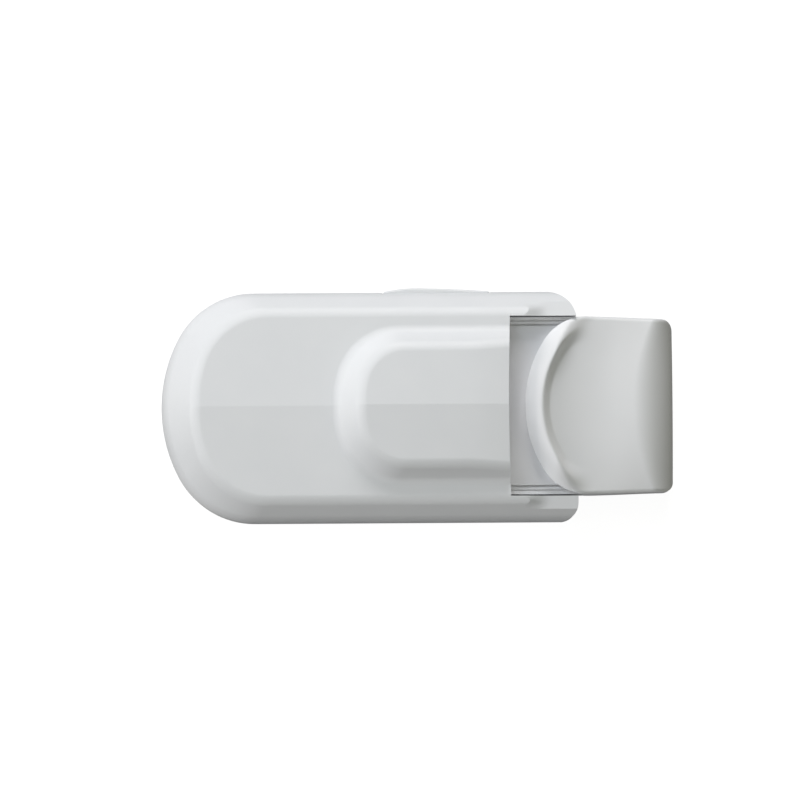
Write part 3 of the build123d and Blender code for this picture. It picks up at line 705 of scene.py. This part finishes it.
@dataclass
class FrontCover:
    """The housing shell: a D with a sloped band, a creased face, a raised boss and two ears."""

    wall_outline: DOutline = DOutline(-0.043, 0.0238, 0.031, 0.0175, 0.043, 0.006)
    band_outline: DOutline = DOutline(-0.0345, 0.0178, 0.0295, 0.015, 0.043, 0.003)
    boss_foot: DOutline = DOutline(-0.0083, 0.0162, 0.0195, 0.0134, 0.0312, 0)
    boss_top: DOutline = DOutline(-0.0007, 0.0110, 0.015, 0.0086, 0.0312, 0)
    blank_right: float = 0.062
    end_corners: dict[Side, float] = field(
        default_factory=lambda: {Side.UPPER: 0.0068, Side.LOWER: 0.0036}
    )
    bottom_z: float = 0.0024
    shoulder_z: float = 0.012
    band_top_z: float = 0.020
    ridge_z: float = 0.0186
    crease_slope: float = 0.055
    boss_foot_z: float = 0.0168
    boss_top_z: float = 0.024
    boss_ridge_z: float = 0.023
    boss_crease_slope: float = 0.08
    boss_drop_x: float = 0.021
    boss_drop: float = 0.0008
    mouth_x: float = 0.0291
    mouth_bow: float = 0.0004
    slot_half_width: float = 0.0186
    slot_y: Range = (-0.0187, 0.01842)
    ramp_start_x: float = 0.0314
    ramp_end_x: float = 0.0368
    ear_z: float = 0.0160
    ear_slope: float = 0.28
    ear_reach: Point = (0.0311, 0.0017)
    wall: float = 0.0019
    ceiling_shift: float = 0.0012
    cavity_right: float = 0.0272
    cavity_corner: float = 0.0005
    boss_skirt: float = 0.002
    tunnel_skirt: float = 0.003
    passage: Range = (-0.016, 0.0154)
    channel: tuple[float, float, float] = (0.0354, 0.0208, 0.0054)
    flange_rib_x: Range = (-0.012, 0.0)
    flange_rib_y: float = 0.0188
    flange_rib_top_z: float = 0.009
    back_rib_y: Range = (0.0186, 0.01935)
    back_rib_top_z: float = 0.0159
    tooth_x: Range = (0.0117, 0.0163)
    tooth_z: Range = (0.0059, 0.0095)
    button_x: Range = (0.0028, 0.0252)
    button_z: Range = (0.0054, 0.0114)
    button_y: float = 0.021
    rear_post: Point = (-0.0325, 0.014)
    front_post: Point = (0.038, 0.021)
    post_radius: float = 0.0026
    post_top_z: float = 0.0144
    screw_radius: float = 0.0011
    screw_tip_z: float = 0.0095
    shoulder_round: float = 0.0024
    face_round: float = 0.0015
    foot_round: float = 0.0012

    def housing(self) -> bpy.types.Object:
        """Builds the housing's outside as a solid, with its long edges rounded.

        Returns:
            The solid, with its ears but without the boss and the slot.
        """
        piece = loft_solid(
            "front_cover_shell", self.wall_outline.ending_at(self.blank_right, 0),
            self.band_outline.ending_at(self.blank_right, 0),
            self.bottom_z, self.shoulder_z, self.band_top_z,
        )
        crease(piece, self.ridge_z, self.crease_slope)
        end_x = self.blank_right - MERGE
        Bench.bevel(
            piece, self.face_round, 6,
            lambda e: fold(e) > 8 and middle(e).x < end_x and any(f.normal.z > 0.9 for f in e.link_faces),
        )
        shoulder = self.shoulder_z
        Bench.bevel(
            piece, self.shoulder_round, 6,
            lambda e: fold(e) > 15 and all(abs(v.co.z - shoulder) < MERGE for v in e.verts)
            and middle(e).x < end_x,
        )
        Bench.combine(piece, self.rounded_end(), Cut.KEEP_COMMON)
        for side in Side:
            Bench.combine(piece, self.ear_cutter(side), Cut.REMOVE)
        return piece

    def rounded_end(self) -> bpy.types.Object:
        """Builds a slab that is kept of the housing: its right end has a large and a small corner.

        Returns:
            The slab, a hair wider than the housing.
        """
        right = self.wall_outline.right
        half = self.wall_outline.half_width + HAIR
        steps = 16
        outline = [(-FAR, -half), (-FAR, half)]
        for side in Side:
            corner = self.end_corners[side]
            arc = [
                (right - corner + corner * math.sin(a), side.value * (half - corner + corner * math.cos(a)))
                for a in (math.pi / 2 * i / steps for i in range(steps + 1))
            ]
            outline += arc if side is Side.UPPER else arc[::-1]
        return Bench.slab("rounded_end", outline, (-CLEAR, FAR))

    def boss(self) -> bpy.types.Object:
        """Builds the raised boss as a solid that reaches down into the housing.

        Returns:
            The solid.
        """
        piece = loft_solid(
            "boss", self.boss_foot, self.boss_top,
            self.boss_foot_z - self.boss_skirt, self.boss_foot_z, self.boss_top_z,
        )
        crease(piece, self.boss_ridge_z, self.boss_crease_slope)
        run = self.mouth_x - self.boss_drop_x
        for side in Side:
            ridge = Vector((self.boss_drop_x, 0, self.boss_ridge_z))
            normal = Vector((self.boss_drop / run, side.value * self.boss_crease_slope, 1))
            Bench.slice_above(piece, ridge, normal)
        foot_z = self.boss_foot_z
        Bench.bevel(
            piece, self.face_round, 6,
            lambda e: 20 < fold(e) < 80 and middle(e).z > foot_z + 0.003
            and any(f.normal.z > 0.985 for f in e.link_faces)
            and abs(e.verts[0].co.x - e.verts[1].co.x) + abs(e.verts[0].co.y - e.verts[1].co.y) > 0.0001,
        )
        return piece

    def ear_height(self, x: float, y: float) -> float:
        """The height of the ear's surface, which leaves the face and band in a soft step.

        Args:
            x: place along the slide.
            y: distance from the middle.

        Returns:
            Z of the surface, a hair above the housing where the step has not begun.
        """
        rise = self.band_top_z - self.shoulder_z
        run = self.wall_outline.half_width - self.band_outline.half_width
        band_z = self.shoulder_z + (self.wall_outline.half_width - y) * rise / run
        before = min(self.ridge_z - self.crease_slope * y, band_z) + HAIR
        after = self.ear_z - self.ear_slope * (y - self.slot_half_width)
        step = smooth(x, self.ramp_start_x, self.ramp_end_x)
        return before + (after - before) * step

    def ear_cutter(self, side: Side) -> bpy.types.Object:
        """Builds what has to go above one ear.

        Args:
            side: the ear's side.

        Returns:
            A block whose underside is the ear's surface.
        """
        bpy.ops.object.select_all(action="DESELECT")
        bpy.ops.mesh.primitive_grid_add(x_subdivisions=28, y_subdivisions=14, size=2, location=(0, 0, 0))
        piece = bpy.context.active_object
        x_range, y_range = self.ear_reach
        for vertex in piece.data.vertices:
            x = x_range + (self.blank_right - x_range) * ((vertex.co.x + 1) / 2) ** 2
            y = self.slot_half_width - y_range + 2 * y_range * (vertex.co.y + 1)
            vertex.co = (x, side.value * y, self.ear_height(x, y))
        with Bench.editing(piece):
            bpy.ops.mesh.select_all(action="SELECT")
            bpy.ops.mesh.extrude_region_move(TRANSFORM_OT_translate={"value": (0, 0, FAR)})
            bpy.ops.mesh.select_all(action="SELECT")
            bpy.ops.mesh.normals_make_consistent(inside=False)
        return piece

    def slot(self) -> bpy.types.Object:
        """Builds the shape of the open slot, whose closed end is slightly bowed.

        Returns:
            A slab that is taken out of the cover.
        """
        low_y, high_y = self.slot_y
        steps = 16
        points = [(FAR, high_y), (FAR, low_y)]
        for i in range(steps + 1):
            across = -1 + 2 * i / steps
            y = low_y + (high_y - low_y) * i / steps
            points.append((self.mouth_x - self.mouth_bow * (1 - across**2), y))
        return Bench.slab("slot", points, (-CLEAR, FAR))

    def hollow(self, piece: bpy.types.Object) -> None:
        """Empties the shell: the cavity, the tunnel under the boss and the slide's passages.

        Args:
            piece: the solid cover.
        """
        gap = self.wall
        low = self.wall_outline.inset(gap).ending_at(self.cavity_right, self.cavity_corner)
        high = self.band_outline.inset(gap).ending_at(self.cavity_right, self.cavity_corner)
        down = self.ceiling_shift
        cavity = loft_solid("cavity", low, high, -CLEAR, self.shoulder_z - down, self.band_top_z - down)
        crease(cavity, self.ridge_z - gap, self.crease_slope)
        Bench.combine(piece, cavity, Cut.REMOVE)
        tunnel = loft_solid(
            "tunnel", self.boss_foot.inset(gap).ending_at(self.blank_right, 0),
            self.boss_top.inset(gap).ending_at(self.blank_right, 0),
            self.boss_foot_z - gap - self.tunnel_skirt, self.boss_foot_z - gap, self.boss_top_z - gap,
        )
        crease(tunnel, self.boss_ridge_z - gap - self.boss_drop, self.boss_crease_slope)
        Bench.combine(piece, tunnel, Cut.REMOVE)
        half = self.slot_half_width
        rear_x, top_z = self.passage
        passage = Bench.block("passage", (rear_x, FAR), (-half, half), (-CLEAR, top_z))
        Bench.combine(piece, passage, Cut.REMOVE)
        front_x, side_y, channel_z = self.channel
        channel = Bench.block("channel", (rear_x, front_x), (-side_y, side_y), (-CLEAR, channel_z))
        Bench.combine(piece, channel, Cut.REMOVE)

    def fit_out(self, piece: bpy.types.Object) -> None:
        """Adds the ribs and screw posts inside the shell, and cuts the button's and screws' holes.

        Args:
            piece: the hollow cover.
        """
        low_z = self.channel[2]
        wall_y = self.wall_outline.half_width - self.wall / 2
        for side in Side:
            y = sorted((side.value * self.flange_rib_y, side.value * wall_y))
            rib = Bench.block("flange_rib", self.flange_rib_x, tuple(y), (low_z, self.flange_rib_top_z))
            Bench.combine(piece, rib, Cut.JOIN)
            x, y = self.rear_post
            foot = Vector((x, side.value * y, self.bottom_z))
            top = Vector((x, side.value * y, self.post_top_z))
            Bench.combine(piece, Bench.rod("screw_post", foot, top, self.post_radius), Cut.JOIN)
        rib_x = (self.flange_rib_x[1] - CLEAR, self.cavity_right + CLEAR)
        Bench.combine(
            piece, Bench.block("button_rib", rib_x, self.back_rib_y, (low_z, self.back_rib_top_z)), Cut.JOIN
        )
        low_y, high_y = self.back_rib_y
        Bench.combine(
            piece, Bench.block("tooth_window", self.tooth_x, (low_y - CLEAR, high_y + CLEAR), self.tooth_z),
            Cut.REMOVE,
        )
        window = Bench.block("button_window", self.button_x, (self.button_y, FAR), self.button_z)
        Bench.combine(piece, window, Cut.REMOVE)
        for x, y in (self.rear_post, self.front_post):
            for side in Side:
                start = Vector((x, side.value * y, self.bottom_z - CLEAR))
                end = Vector((x, side.value * y, self.screw_tip_z))
                Bench.combine(piece, Bench.rod("screw_hole", start, end, self.screw_radius, 24), Cut.REMOVE)

    def build(self) -> bpy.types.Object:
        """Builds the whole cover.

        Returns:
            The finished shell.
        """
        piece = self.housing()
        Bench.combine(piece, self.boss(), Cut.JOIN)
        low_z = self.boss_foot_z - CLEAR
        left = self.boss_foot.left - CLEAR
        right = self.boss_foot.right + MERGE
        Bench.bevel(
            piece, self.foot_round, 4,
            lambda e: fold(e) > 25 and not e.is_convex and middle(e).z > low_z
            and left < middle(e).x < right,
        )
        Bench.combine(piece, self.slot(), Cut.REMOVE)
        self.hollow(piece)
        self.fit_out(piece)
        Bench.finish(piece, 30.0, lambda e: 3 < fold(e) < 12 and all(abs(v.co.y) < MERGE for v in e.verts))
        return piece

    def install(self, material: bpy.types.Material) -> None:
        """Builds the cover, dresses it and sets it on the housing."""
        hand_over(self.build(), "housing", "housing_plastic", material, "front_cover")


# --------------------------------------------------------------------------- thumb paddle


@dataclass
class ThumbPaddle:
    """The D-shaped grip: a curved lip, a dish for the thumb, and a nose that rolls down."""

    outline: DOutline = DOutline(0.0322, 0.01835, 0.0248, 0.0107, 0.063, 0.0024)
    deck_z: float = 0.014
    bottom_z: float = 0.0032
    split_x: float = 0.044
    lip_top_z: float = 0.0186
    lip_width: float = 0.0033
    lip_foot_z: float = 0.0160
    lip_end_width: float = 0.0010
    lip_fall: float = 0.0018
    lip_end_fall: float = 0.005
    lip_bulge: float = 1.6
    lip_fade: Range = (0.0380, 0.0475)
    dish_z: float = 0.0144
    dish_rise: float = 0.0047
    flat_start_x: float = 0.051
    roll_start_x: float = 0.0545
    roll_delay: float = 0.0042
    roll_end_z: float = 0.005
    crown: float = 0.0003
    nose_crown: float = 0.0024
    taper: float = 0.00045
    edge_round: float = 0.0008
    wall: float = 0.0022
    post_radius: float = 0.0026
    post_front_x: float = 0.050
    post_place: Point = (0.0125, 0.008)
    window: Point = (0.0078, 0.0097)
    columns: int = 180
    rows: int = 160

    def half_width(self, x: float) -> float:
        """Half of the paddle's width at one X, with its taper towards the nose."""
        return self.outline.half_width_at(x) - self.taper * smooth(x, self.split_x, self.outline.right)

    def dish(self, x: float, y: float) -> float:
        """The height of the thumb's dish and the nose, as if there were no lip.

        Args:
            x: place along the slide.
            y: place across it.

        Returns:
            Z of that surface.
        """
        left, right = self.outline.left, self.outline.right
        across = y / self.outline.half_width
        back = max((self.flat_start_x - x) / (self.flat_start_x - left), 0.0)
        start = self.roll_start_x + self.roll_delay * across**2
        out = min(max((x - start) / (right - start), 0.0), 1.0)
        level = self.roll_end_z + (self.dish_z - self.roll_end_z) * math.sqrt(1.0 - out * out)
        crown = self.crown + self.nose_crown * smooth(x, self.split_x, right)
        level += self.dish_rise * back**2 - crown * across**2
        return min(max(level, self.bottom_z + self.edge_round), self.lip_top_z)

    def height(self, x: float, y: float) -> float:
        """The height of the top surface over one point.

        Args:
            x: place along the slide.
            y: place across it.

        Returns:
            Z of the surface.
        """
        base = self.dish(x, y)
        depth = max(self.outline.depth_at(x, y) - (self.outline.half_width_at(x) - self.half_width(x)), 0.0)
        fade = 1.0 - smooth(x, *self.lip_fade)
        width = self.lip_end_width + (self.lip_width - self.lip_end_width) * fade
        fall = self.lip_end_fall + (self.lip_fall - self.lip_end_fall) * fade
        crest = base + (self.lip_top_z - base) * fade
        if depth < width:
            swell = 1.0 - (1.0 - depth / width) ** self.lip_bulge
            lip = self.lip_foot_z + (crest - self.lip_foot_z) * swell
        else:
            lip = base + (crest - base) * (1.0 - smooth(depth, width, width + fall))
        edge = max(1.0 - depth / self.edge_round, 0.0)
        plain = base - self.edge_round * (1.0 - math.sqrt(1.0 - edge * edge))
        return lip * fade + plain * (1.0 - fade)

    def top_sheet(self) -> bpy.types.Object:
        """Builds the top surface as a fine grid that follows the D outline.

        Returns:
            The open sheet.
        """
        outline = self.outline
        bpy.ops.object.select_all(action="DESELECT")
        bpy.ops.mesh.primitive_grid_add(x_subdivisions=self.columns, y_subdivisions=self.rows, size=2)
        piece = bpy.context.active_object
        piece.name = "thumb_paddle_grip"
        span = outline.right - outline.left - 2 * HAIR
        for vertex in piece.data.vertices:
            along = 0.5 - 0.5 * math.cos(math.pi * (vertex.co.x + 1) / 2)
            x = outline.left + HAIR + span * along
            across = math.sin(math.pi / 2 * vertex.co.y)
            y = self.half_width(x) * across
            vertex.co = (x, y, self.height(x, y))
        return piece

    def close_below(self, piece: bpy.types.Object) -> None:
        """Gives the sheet an upright wall and a floor, so that it is a solid.

        Args:
            piece: the top sheet.
        """
        with Bench.editing(piece):
            bpy.ops.mesh.select_mode(type="EDGE")
            bpy.ops.mesh.select_non_manifold()
            bpy.ops.mesh.extrude_region_move(TRANSFORM_OT_translate={"value": (0, 0, -CLEAR)})
            mesh = bmesh.from_edit_mesh(piece.data)
            for vertex in [v for v in mesh.verts if v.select]:
                vertex.co.z = self.bottom_z
            bmesh.update_edit_mesh(piece.data)
            bpy.ops.mesh.edge_face_add()
            bpy.ops.mesh.select_all(action="SELECT")
            bpy.ops.mesh.normals_make_consistent(inside=False)

    def hollow(self, piece: bpy.types.Object) -> None:
        """Cuts away the space over the slide's deck and the hollow under the nose.

        Args:
            piece: the solid paddle.
        """
        space = Bench.block("deck_space", (0, self.split_x), (-FAR, FAR), (-CLEAR, self.deck_z))
        Bench.combine(piece, space, Cut.REMOVE)
        inner_x = self.outline.right - self.wall
        ceiling = self.dish_z - self.wall
        rise = ceiling - self.roll_end_z
        reach = inner_x - self.roll_start_x
        roll = [
            (self.roll_start_x + reach * math.sin(a), self.roll_end_z + rise * math.cos(a))
            for a in (math.pi / 2 * i / 16 for i in range(17))
        ]
        rear = self.split_x + self.wall
        profile = [(rear, -CLEAR), (rear, ceiling), *roll, (inner_x, -CLEAR)]
        half = self.outline.half_width - self.wall
        Bench.combine(piece, Bench.prism("nose_hollow", profile, (-half, half)), Cut.REMOVE)
        half, top = self.window
        window_x = (self.split_x - CLEAR, rear + CLEAR / 2)
        window = Bench.block("tongue_window", window_x, (-half, half), (-CLEAR, top))
        Bench.combine(piece, window, Cut.REMOVE)
        post_y, post_z = self.post_place
        for side in Side:
            y = side.value * post_y
            foot = Vector((rear - CLEAR, y, post_z))
            tip = Vector((self.post_front_x, y, post_z))
            post = Bench.rod("post", foot, tip, self.post_radius)
            Bench.combine(piece, post, Cut.JOIN)

    def build(self) -> bpy.types.Object:
        """Builds the whole paddle.

        Returns:
            The finished paddle.
        """
        piece = self.top_sheet()
        self.close_below(piece)
        self.hollow(piece)
        Bench.finish(piece, 40.0)
        return piece

    def install(self, material: bpy.types.Material) -> None:
        """Builds the paddle, dresses it and sets it on the slide."""
        hand_over(self.build(), "slide", "paddle_plastic", material, "thumb_paddle")


# --------------------------------------------------------------------------- side button


@dataclass
class SideButton:
    """The low crowned pad on the long edge, with its flange and inward tooth."""

    x: Range = (0.003, 0.025)
    z: Range = (0.0056, 0.0112)
    inner_y: float = 0.0207
    edge_y: float = 0.0239
    crest_y: float = 0.0246
    crest_x: float = 0.009
    flange_reach: float = 0.0012
    flange_y: Range = (0.0207, 0.0217)
    flange_z: Range = (0.0056, 0.0104)
    tooth_x: Range = (0.012, 0.016)
    tooth_y: Range = (0.0186, 0.0208)
    tooth_z: Range = (0.0062, 0.0092)
    edge_round: float = 0.0004
    crown_power: float = 1.7

    def crown(self, x: float) -> float:
        """Works out how far the pad's face stands out.

        Args:
            x: place along the slide.

        Returns:
            Y of the face.
        """
        if x < self.crest_x:
            fall = (self.crest_x - x) / (self.crest_x - self.x[0])
        else:
            fall = (x - self.crest_x) / (self.x[1] - self.crest_x)
        return self.edge_y + (self.crest_y - self.edge_y) * (1.0 - fall**self.crown_power)

    def build(self) -> bpy.types.Object:
        """Builds the button.

        Returns:
            The finished button.
        """
        piece = Bench.block("side_button_pad", self.x, (self.inner_y, self.edge_y), self.z)
        with Bench.editing(piece):
            bpy.ops.mesh.select_mode(type="EDGE")
            mesh = bmesh.from_edit_mesh(piece.data)
            for edge in mesh.edges:
                span = edge.verts[0].co - edge.verts[1].co
                edge.select_set(abs(span.x) > 0.01)
            bmesh.update_edit_mesh(piece.data)
            bpy.ops.mesh.subdivide(number_cuts=21)
            mesh = bmesh.from_edit_mesh(piece.data)
            for vertex in mesh.verts:
                if vertex.co.y > self.edge_y - MERGE:
                    vertex.co.y = self.crown(vertex.co.x)
            bmesh.update_edit_mesh(piece.data)
        Bench.bevel(
            piece, self.edge_round, 4, lambda e: fold(e) > 50 and middle(e).y > self.inner_y + CLEAR
        )
        reach = self.flange_reach
        flange = Bench.block(
            "flange", (self.x[0] - reach, self.x[1] + reach), self.flange_y, self.flange_z
        )
        Bench.combine(piece, flange, Cut.JOIN)
        Bench.combine(piece, Bench.block("tooth", self.tooth_x, self.tooth_y, self.tooth_z), Cut.JOIN)
        Bench.finish(piece, 30.0)
        return piece

    def install(self, material: bpy.types.Material) -> None:
        """Builds the button, dresses it and sets it on its own body."""
        hand_over(self.build(), "side_button", "button_plastic", material, "lock_button")


# --------------------------------------------------------------------------- springs


@dataclass
class ReturnSpring:
    """A wire helix of even pitch. The real spring shortens as the slide goes back; this one keeps its
    length.
    """

    side: Side
    turns: int = 10
    wire: float = 0.0004
    travel: float = 0.007

    def build(self) -> bpy.types.Object:
        """Winds the spring inside its CAD node's box.

        Returns:
            The finished spring.
        """
        low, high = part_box(f"return_spring_{self.side.name.lower()}")
        centre = (low + high) / 2
        radius = (high.z - low.z) / 2 - self.wire
        length = high.x - low.x - 2 * self.wire
        bpy.ops.object.select_all(action="DESELECT")
        bpy.ops.mesh.primitive_circle_add(
            vertices=10, radius=self.wire, fill_type="NOTHING", location=(0, 0, radius),
            rotation=(math.pi / 2, 0, 0),
        )
        piece = bpy.context.active_object
        piece.name = f"wound_spring_{self.side.name.lower()}"
        bpy.ops.object.transform_apply(location=True, rotation=True, scale=True)
        bpy.ops.object.modifier_add(type="SCREW")
        screw = piece.modifiers[-1]
        screw.axis = "X"
        screw.angle = math.tau * self.turns
        screw.screw_offset = length
        screw.steps = 32 * self.turns
        screw.render_steps = screw.steps
        screw.use_merge_vertices = False
        bpy.ops.object.modifier_apply(modifier=screw.name)
        with Bench.editing(piece):
            bpy.ops.mesh.select_mode(type="EDGE")
            bpy.ops.mesh.select_non_manifold()
            bpy.ops.mesh.fill()
            bpy.ops.mesh.select_all(action="SELECT")
            bpy.ops.mesh.normals_make_consistent(inside=False)
        for vertex in piece.data.vertices:
            vertex.co += Vector((low.x + self.wire, centre.y, centre.z))
        Bench.pick(piece)
        bpy.ops.object.shade_smooth()
        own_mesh(piece)
        return piece

    def install(self, material: bpy.types.Material) -> None:
        """Winds the spring, dresses it and sets it on the housing."""
        node = f"return_spring_{self.side.name.lower()}"
        hand_over(self.build(), "housing", "spring_steel", material, node)


@dataclass
class LeafSprings:
    """Two bowed steel strips, side by side, that push the side button out."""

    spans: tuple[Range, Range] = ((0.003, 0.0112), (0.0168, 0.025))
    z: Range = (0.0062, 0.0092)
    thickness: float = 0.0002
    travel: float = 0.0012
    steps: int = 20

    def strip(self, x: Range, back_y: float, crest_y: float) -> bpy.types.Object:
        """Bends one strip.

        Args:
            x: its two ends.
            back_y: where its ends rest on the rib behind.
            crest_y: where its bow touches the button.

        Returns:
            The strip.
        """
        middle_x, half = (x[0] + x[1]) / 2, (x[1] - x[0]) / 2
        rise = crest_y - self.thickness - back_y
        back = [
            (middle_x - half * math.cos(angle), back_y + rise * math.sin(angle) ** 1.5)
            for angle in (math.pi * i / self.steps for i in range(self.steps + 1))
        ]
        front = [(px, py + self.thickness) for px, py in reversed(back)]
        return Bench.slab("leaf_strip", back + front, self.z)

    def build(self) -> bpy.types.Object:
        """Makes both strips as one piece. The real strips flatten as the button goes in; these keep their
        bow.

        Returns:
            The finished springs.
        """
        low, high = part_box("button_springs")
        strips = [self.strip(x, low.y, high.y) for x in self.spans]
        bpy.ops.object.select_all(action="DESELECT")
        for strip in strips:
            strip.select_set(True)
        piece = strips[0]
        bpy.context.view_layer.objects.active = piece
        bpy.ops.object.join()
        piece.name = "button_leaf_springs"
        Bench.finish(piece, 30.0)
        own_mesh(piece)
        return piece

    def install(self, material: bpy.types.Material) -> None:
        """Bends the springs, dresses them and sets them on the housing."""
        hand_over(self.build(), "housing", "spring_steel", material, "button_springs")


# --------------------------------------------------------------------------- carried-over nodes


def dress_nodes() -> None:
    """Gives every CAD node that still shows its finish."""
    finishes = {
        "slide_carriage": CARRIAGE_WHITE,
        "base_plate": BASE_WHITE,
        "latch_tongue": TONGUE_NYLON,
        "backing_pad": PAD_RUBBER,
        "threaded_inserts": BRASS,
        "cover_screws": ZINC,
        "paddle_screws": ZINC,
        "tongue_screws": ZINC,
        "spring_washers": ZINC,
        "guide_rod": GROUND_STEEL,
        "wear_strip": ACETAL,
        "front_bumper": RUBBER,
        "rear_bumper": RUBBER,
    }
    made: dict[str, bpy.types.Material] = {}
    for name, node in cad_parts.items():
        stem = name.removesuffix("_upper").removesuffix("_lower")
        finish = finishes.get(stem)
        if finish is None or node.hide_render:
            continue
        if finish.name not in made:
            made[finish.name] = finish.build()
        dress(node, made[finish.name])
        log.info("%s: dressed in %s", name, finish.name)


# --------------------------------------------------------------------------- studio


@dataclass(frozen=True)
class Lamp:
    """One soft square lamp, placed by its direction from the latch. A fill lamp casts no shadows."""

    name: str
    around_degrees: float
    up_degrees: float
    size: float
    watts: float
    colour: tuple[float, float, float] = (1.0, 1.0, 1.0)
    shadows: bool = True


@dataclass
class Studio:
    """The pale floor, the soft lights and the camera over the latch's face."""

    aim: tuple[float, float, float] = (0.006, 0.0014, 0.012)
    distance: float = 1.2
    view_width: float = 0.1653
    lean_degrees: float = 2.9
    roll_degrees: float = 0.35
    floor_glow: float = 0.90
    ambient: float = 0.02
    lamp_distance: float = 1.3
    lamps: tuple[Lamp, ...] = (
        Lamp("left", 180, 27, 0.6, 4.8, (1.0, 0.97, 0.93)),
        Lamp("left_fill", 180, 30, 0.6, 4.2, (1.0, 0.98, 0.96), shadows=False),
        Lamp("upper_left", 135, 50, 0.6, 3.0, (0.82, 0.92, 1.0)),
        Lamp("upper", 90, 25, 0.6, 11.0, (1.0, 0.98, 0.98)),
        Lamp("right", 0, 35, 0.6, 1.4, (1.0, 1.0, 0.7)),
        Lamp("lower", 270, 35, 0.6, 3.2),
    )

    def floor(self) -> None:
        """Lays a pale floor that is bright enough to show as plain white."""
        bpy.ops.object.select_all(action="DESELECT")
        bpy.ops.mesh.primitive_plane_add(size=6, location=(0, 0, -0.0002))
        piece = bpy.context.active_object
        piece.name = "floor"
        material = bpy.data.materials.new("floor_white")
        material.use_nodes = True
        shader = material.node_tree.nodes["Principled BSDF"]
        shader.inputs["Base Color"].default_value = (0.25, 0.25, 0.25, 1)
        shader.inputs["Roughness"].default_value = 0.9
        shader.inputs["Specular IOR Level"].default_value = 0.0
        shader.inputs["Emission Color"].default_value = (1, 1, 1, 1)
        seen = material.node_tree.nodes.new("ShaderNodeLightPath")
        glow = material.node_tree.nodes.new("ShaderNodeMath")
        glow.operation = "MULTIPLY"
        glow.inputs[1].default_value = self.floor_glow
        material.node_tree.links.new(seen.outputs["Is Camera Ray"], glow.inputs[0])
        material.node_tree.links.new(glow.outputs[0], shader.inputs["Emission Strength"])
        dress(piece, material)

    def hang(self, lamp: Lamp) -> None:
        """Hangs one soft square lamp that points at the latch.

        Args:
            lamp: where it hangs, and how large and bright it is.
        """
        light = bpy.data.lights.new(lamp.name, "AREA")
        light.size = lamp.size
        light.energy = lamp.watts
        light.color = lamp.colour
        light.use_shadow = lamp.shadows
        around, up = math.radians(lamp.around_degrees), math.radians(lamp.up_degrees)
        aim = Vector(self.aim)
        away = Vector((math.cos(up) * math.cos(around), math.cos(up) * math.sin(around), math.sin(up)))
        piece = bpy.data.objects.new(lamp.name, light)
        piece.location = aim + self.lamp_distance * away
        piece.rotation_euler = away.to_track_quat("Z", "Y").to_euler()
        bpy.context.scene.collection.objects.link(piece)

    def camera(self) -> None:
        """Sets the camera over the face, leaning a little towards the lower edge."""
        lean = math.radians(self.lean_degrees)
        aim = Vector(self.aim)
        place = aim + self.distance * Vector((0, -math.sin(lean), math.cos(lean)))
        data = bpy.data.cameras.new("camera")
        data.sensor_width = 36.0
        data.lens = data.sensor_width * self.distance / self.view_width
        data.clip_end = 20.0
        camera = bpy.data.objects.new("camera", data)
        camera.location = place
        camera.rotation_euler = (lean, 0, -math.radians(self.roll_degrees))
        bpy.context.scene.collection.objects.link(camera)
        bpy.context.scene.camera = camera

    def build(self) -> None:
        """Sets up the floor, the lights, the surroundings and the camera."""
        self.floor()
        for lamp in self.lamps:
            self.hang(lamp)
        world = bpy.data.worlds.new("surroundings")
        world.use_nodes = True
        background = world.node_tree.nodes["Background"]
        background.inputs["Color"].default_value = (1, 1, 1, 1)
        background.inputs["Strength"].default_value = self.ambient
        bpy.context.scene.world = world
        bpy.context.scene.view_settings.view_transform = "Standard"
        self.camera()


def main() -> None:
    """Builds every piece in order, then the studio."""
    white = HOUSING_WHITE.build()
    FrontCover().install(white)
    ThumbPaddle().install(PADDLE_WHITE_WITH_PAINTED_LIGHT.build())
    SideButton().install(white)
    steel = SPRING_WIRE.build()
    for side in Side:
        ReturnSpring(side).install(steel)
    LeafSprings().install(steel)
    dress_nodes()
    Studio().build()


if __name__ == "__main__":
    main()
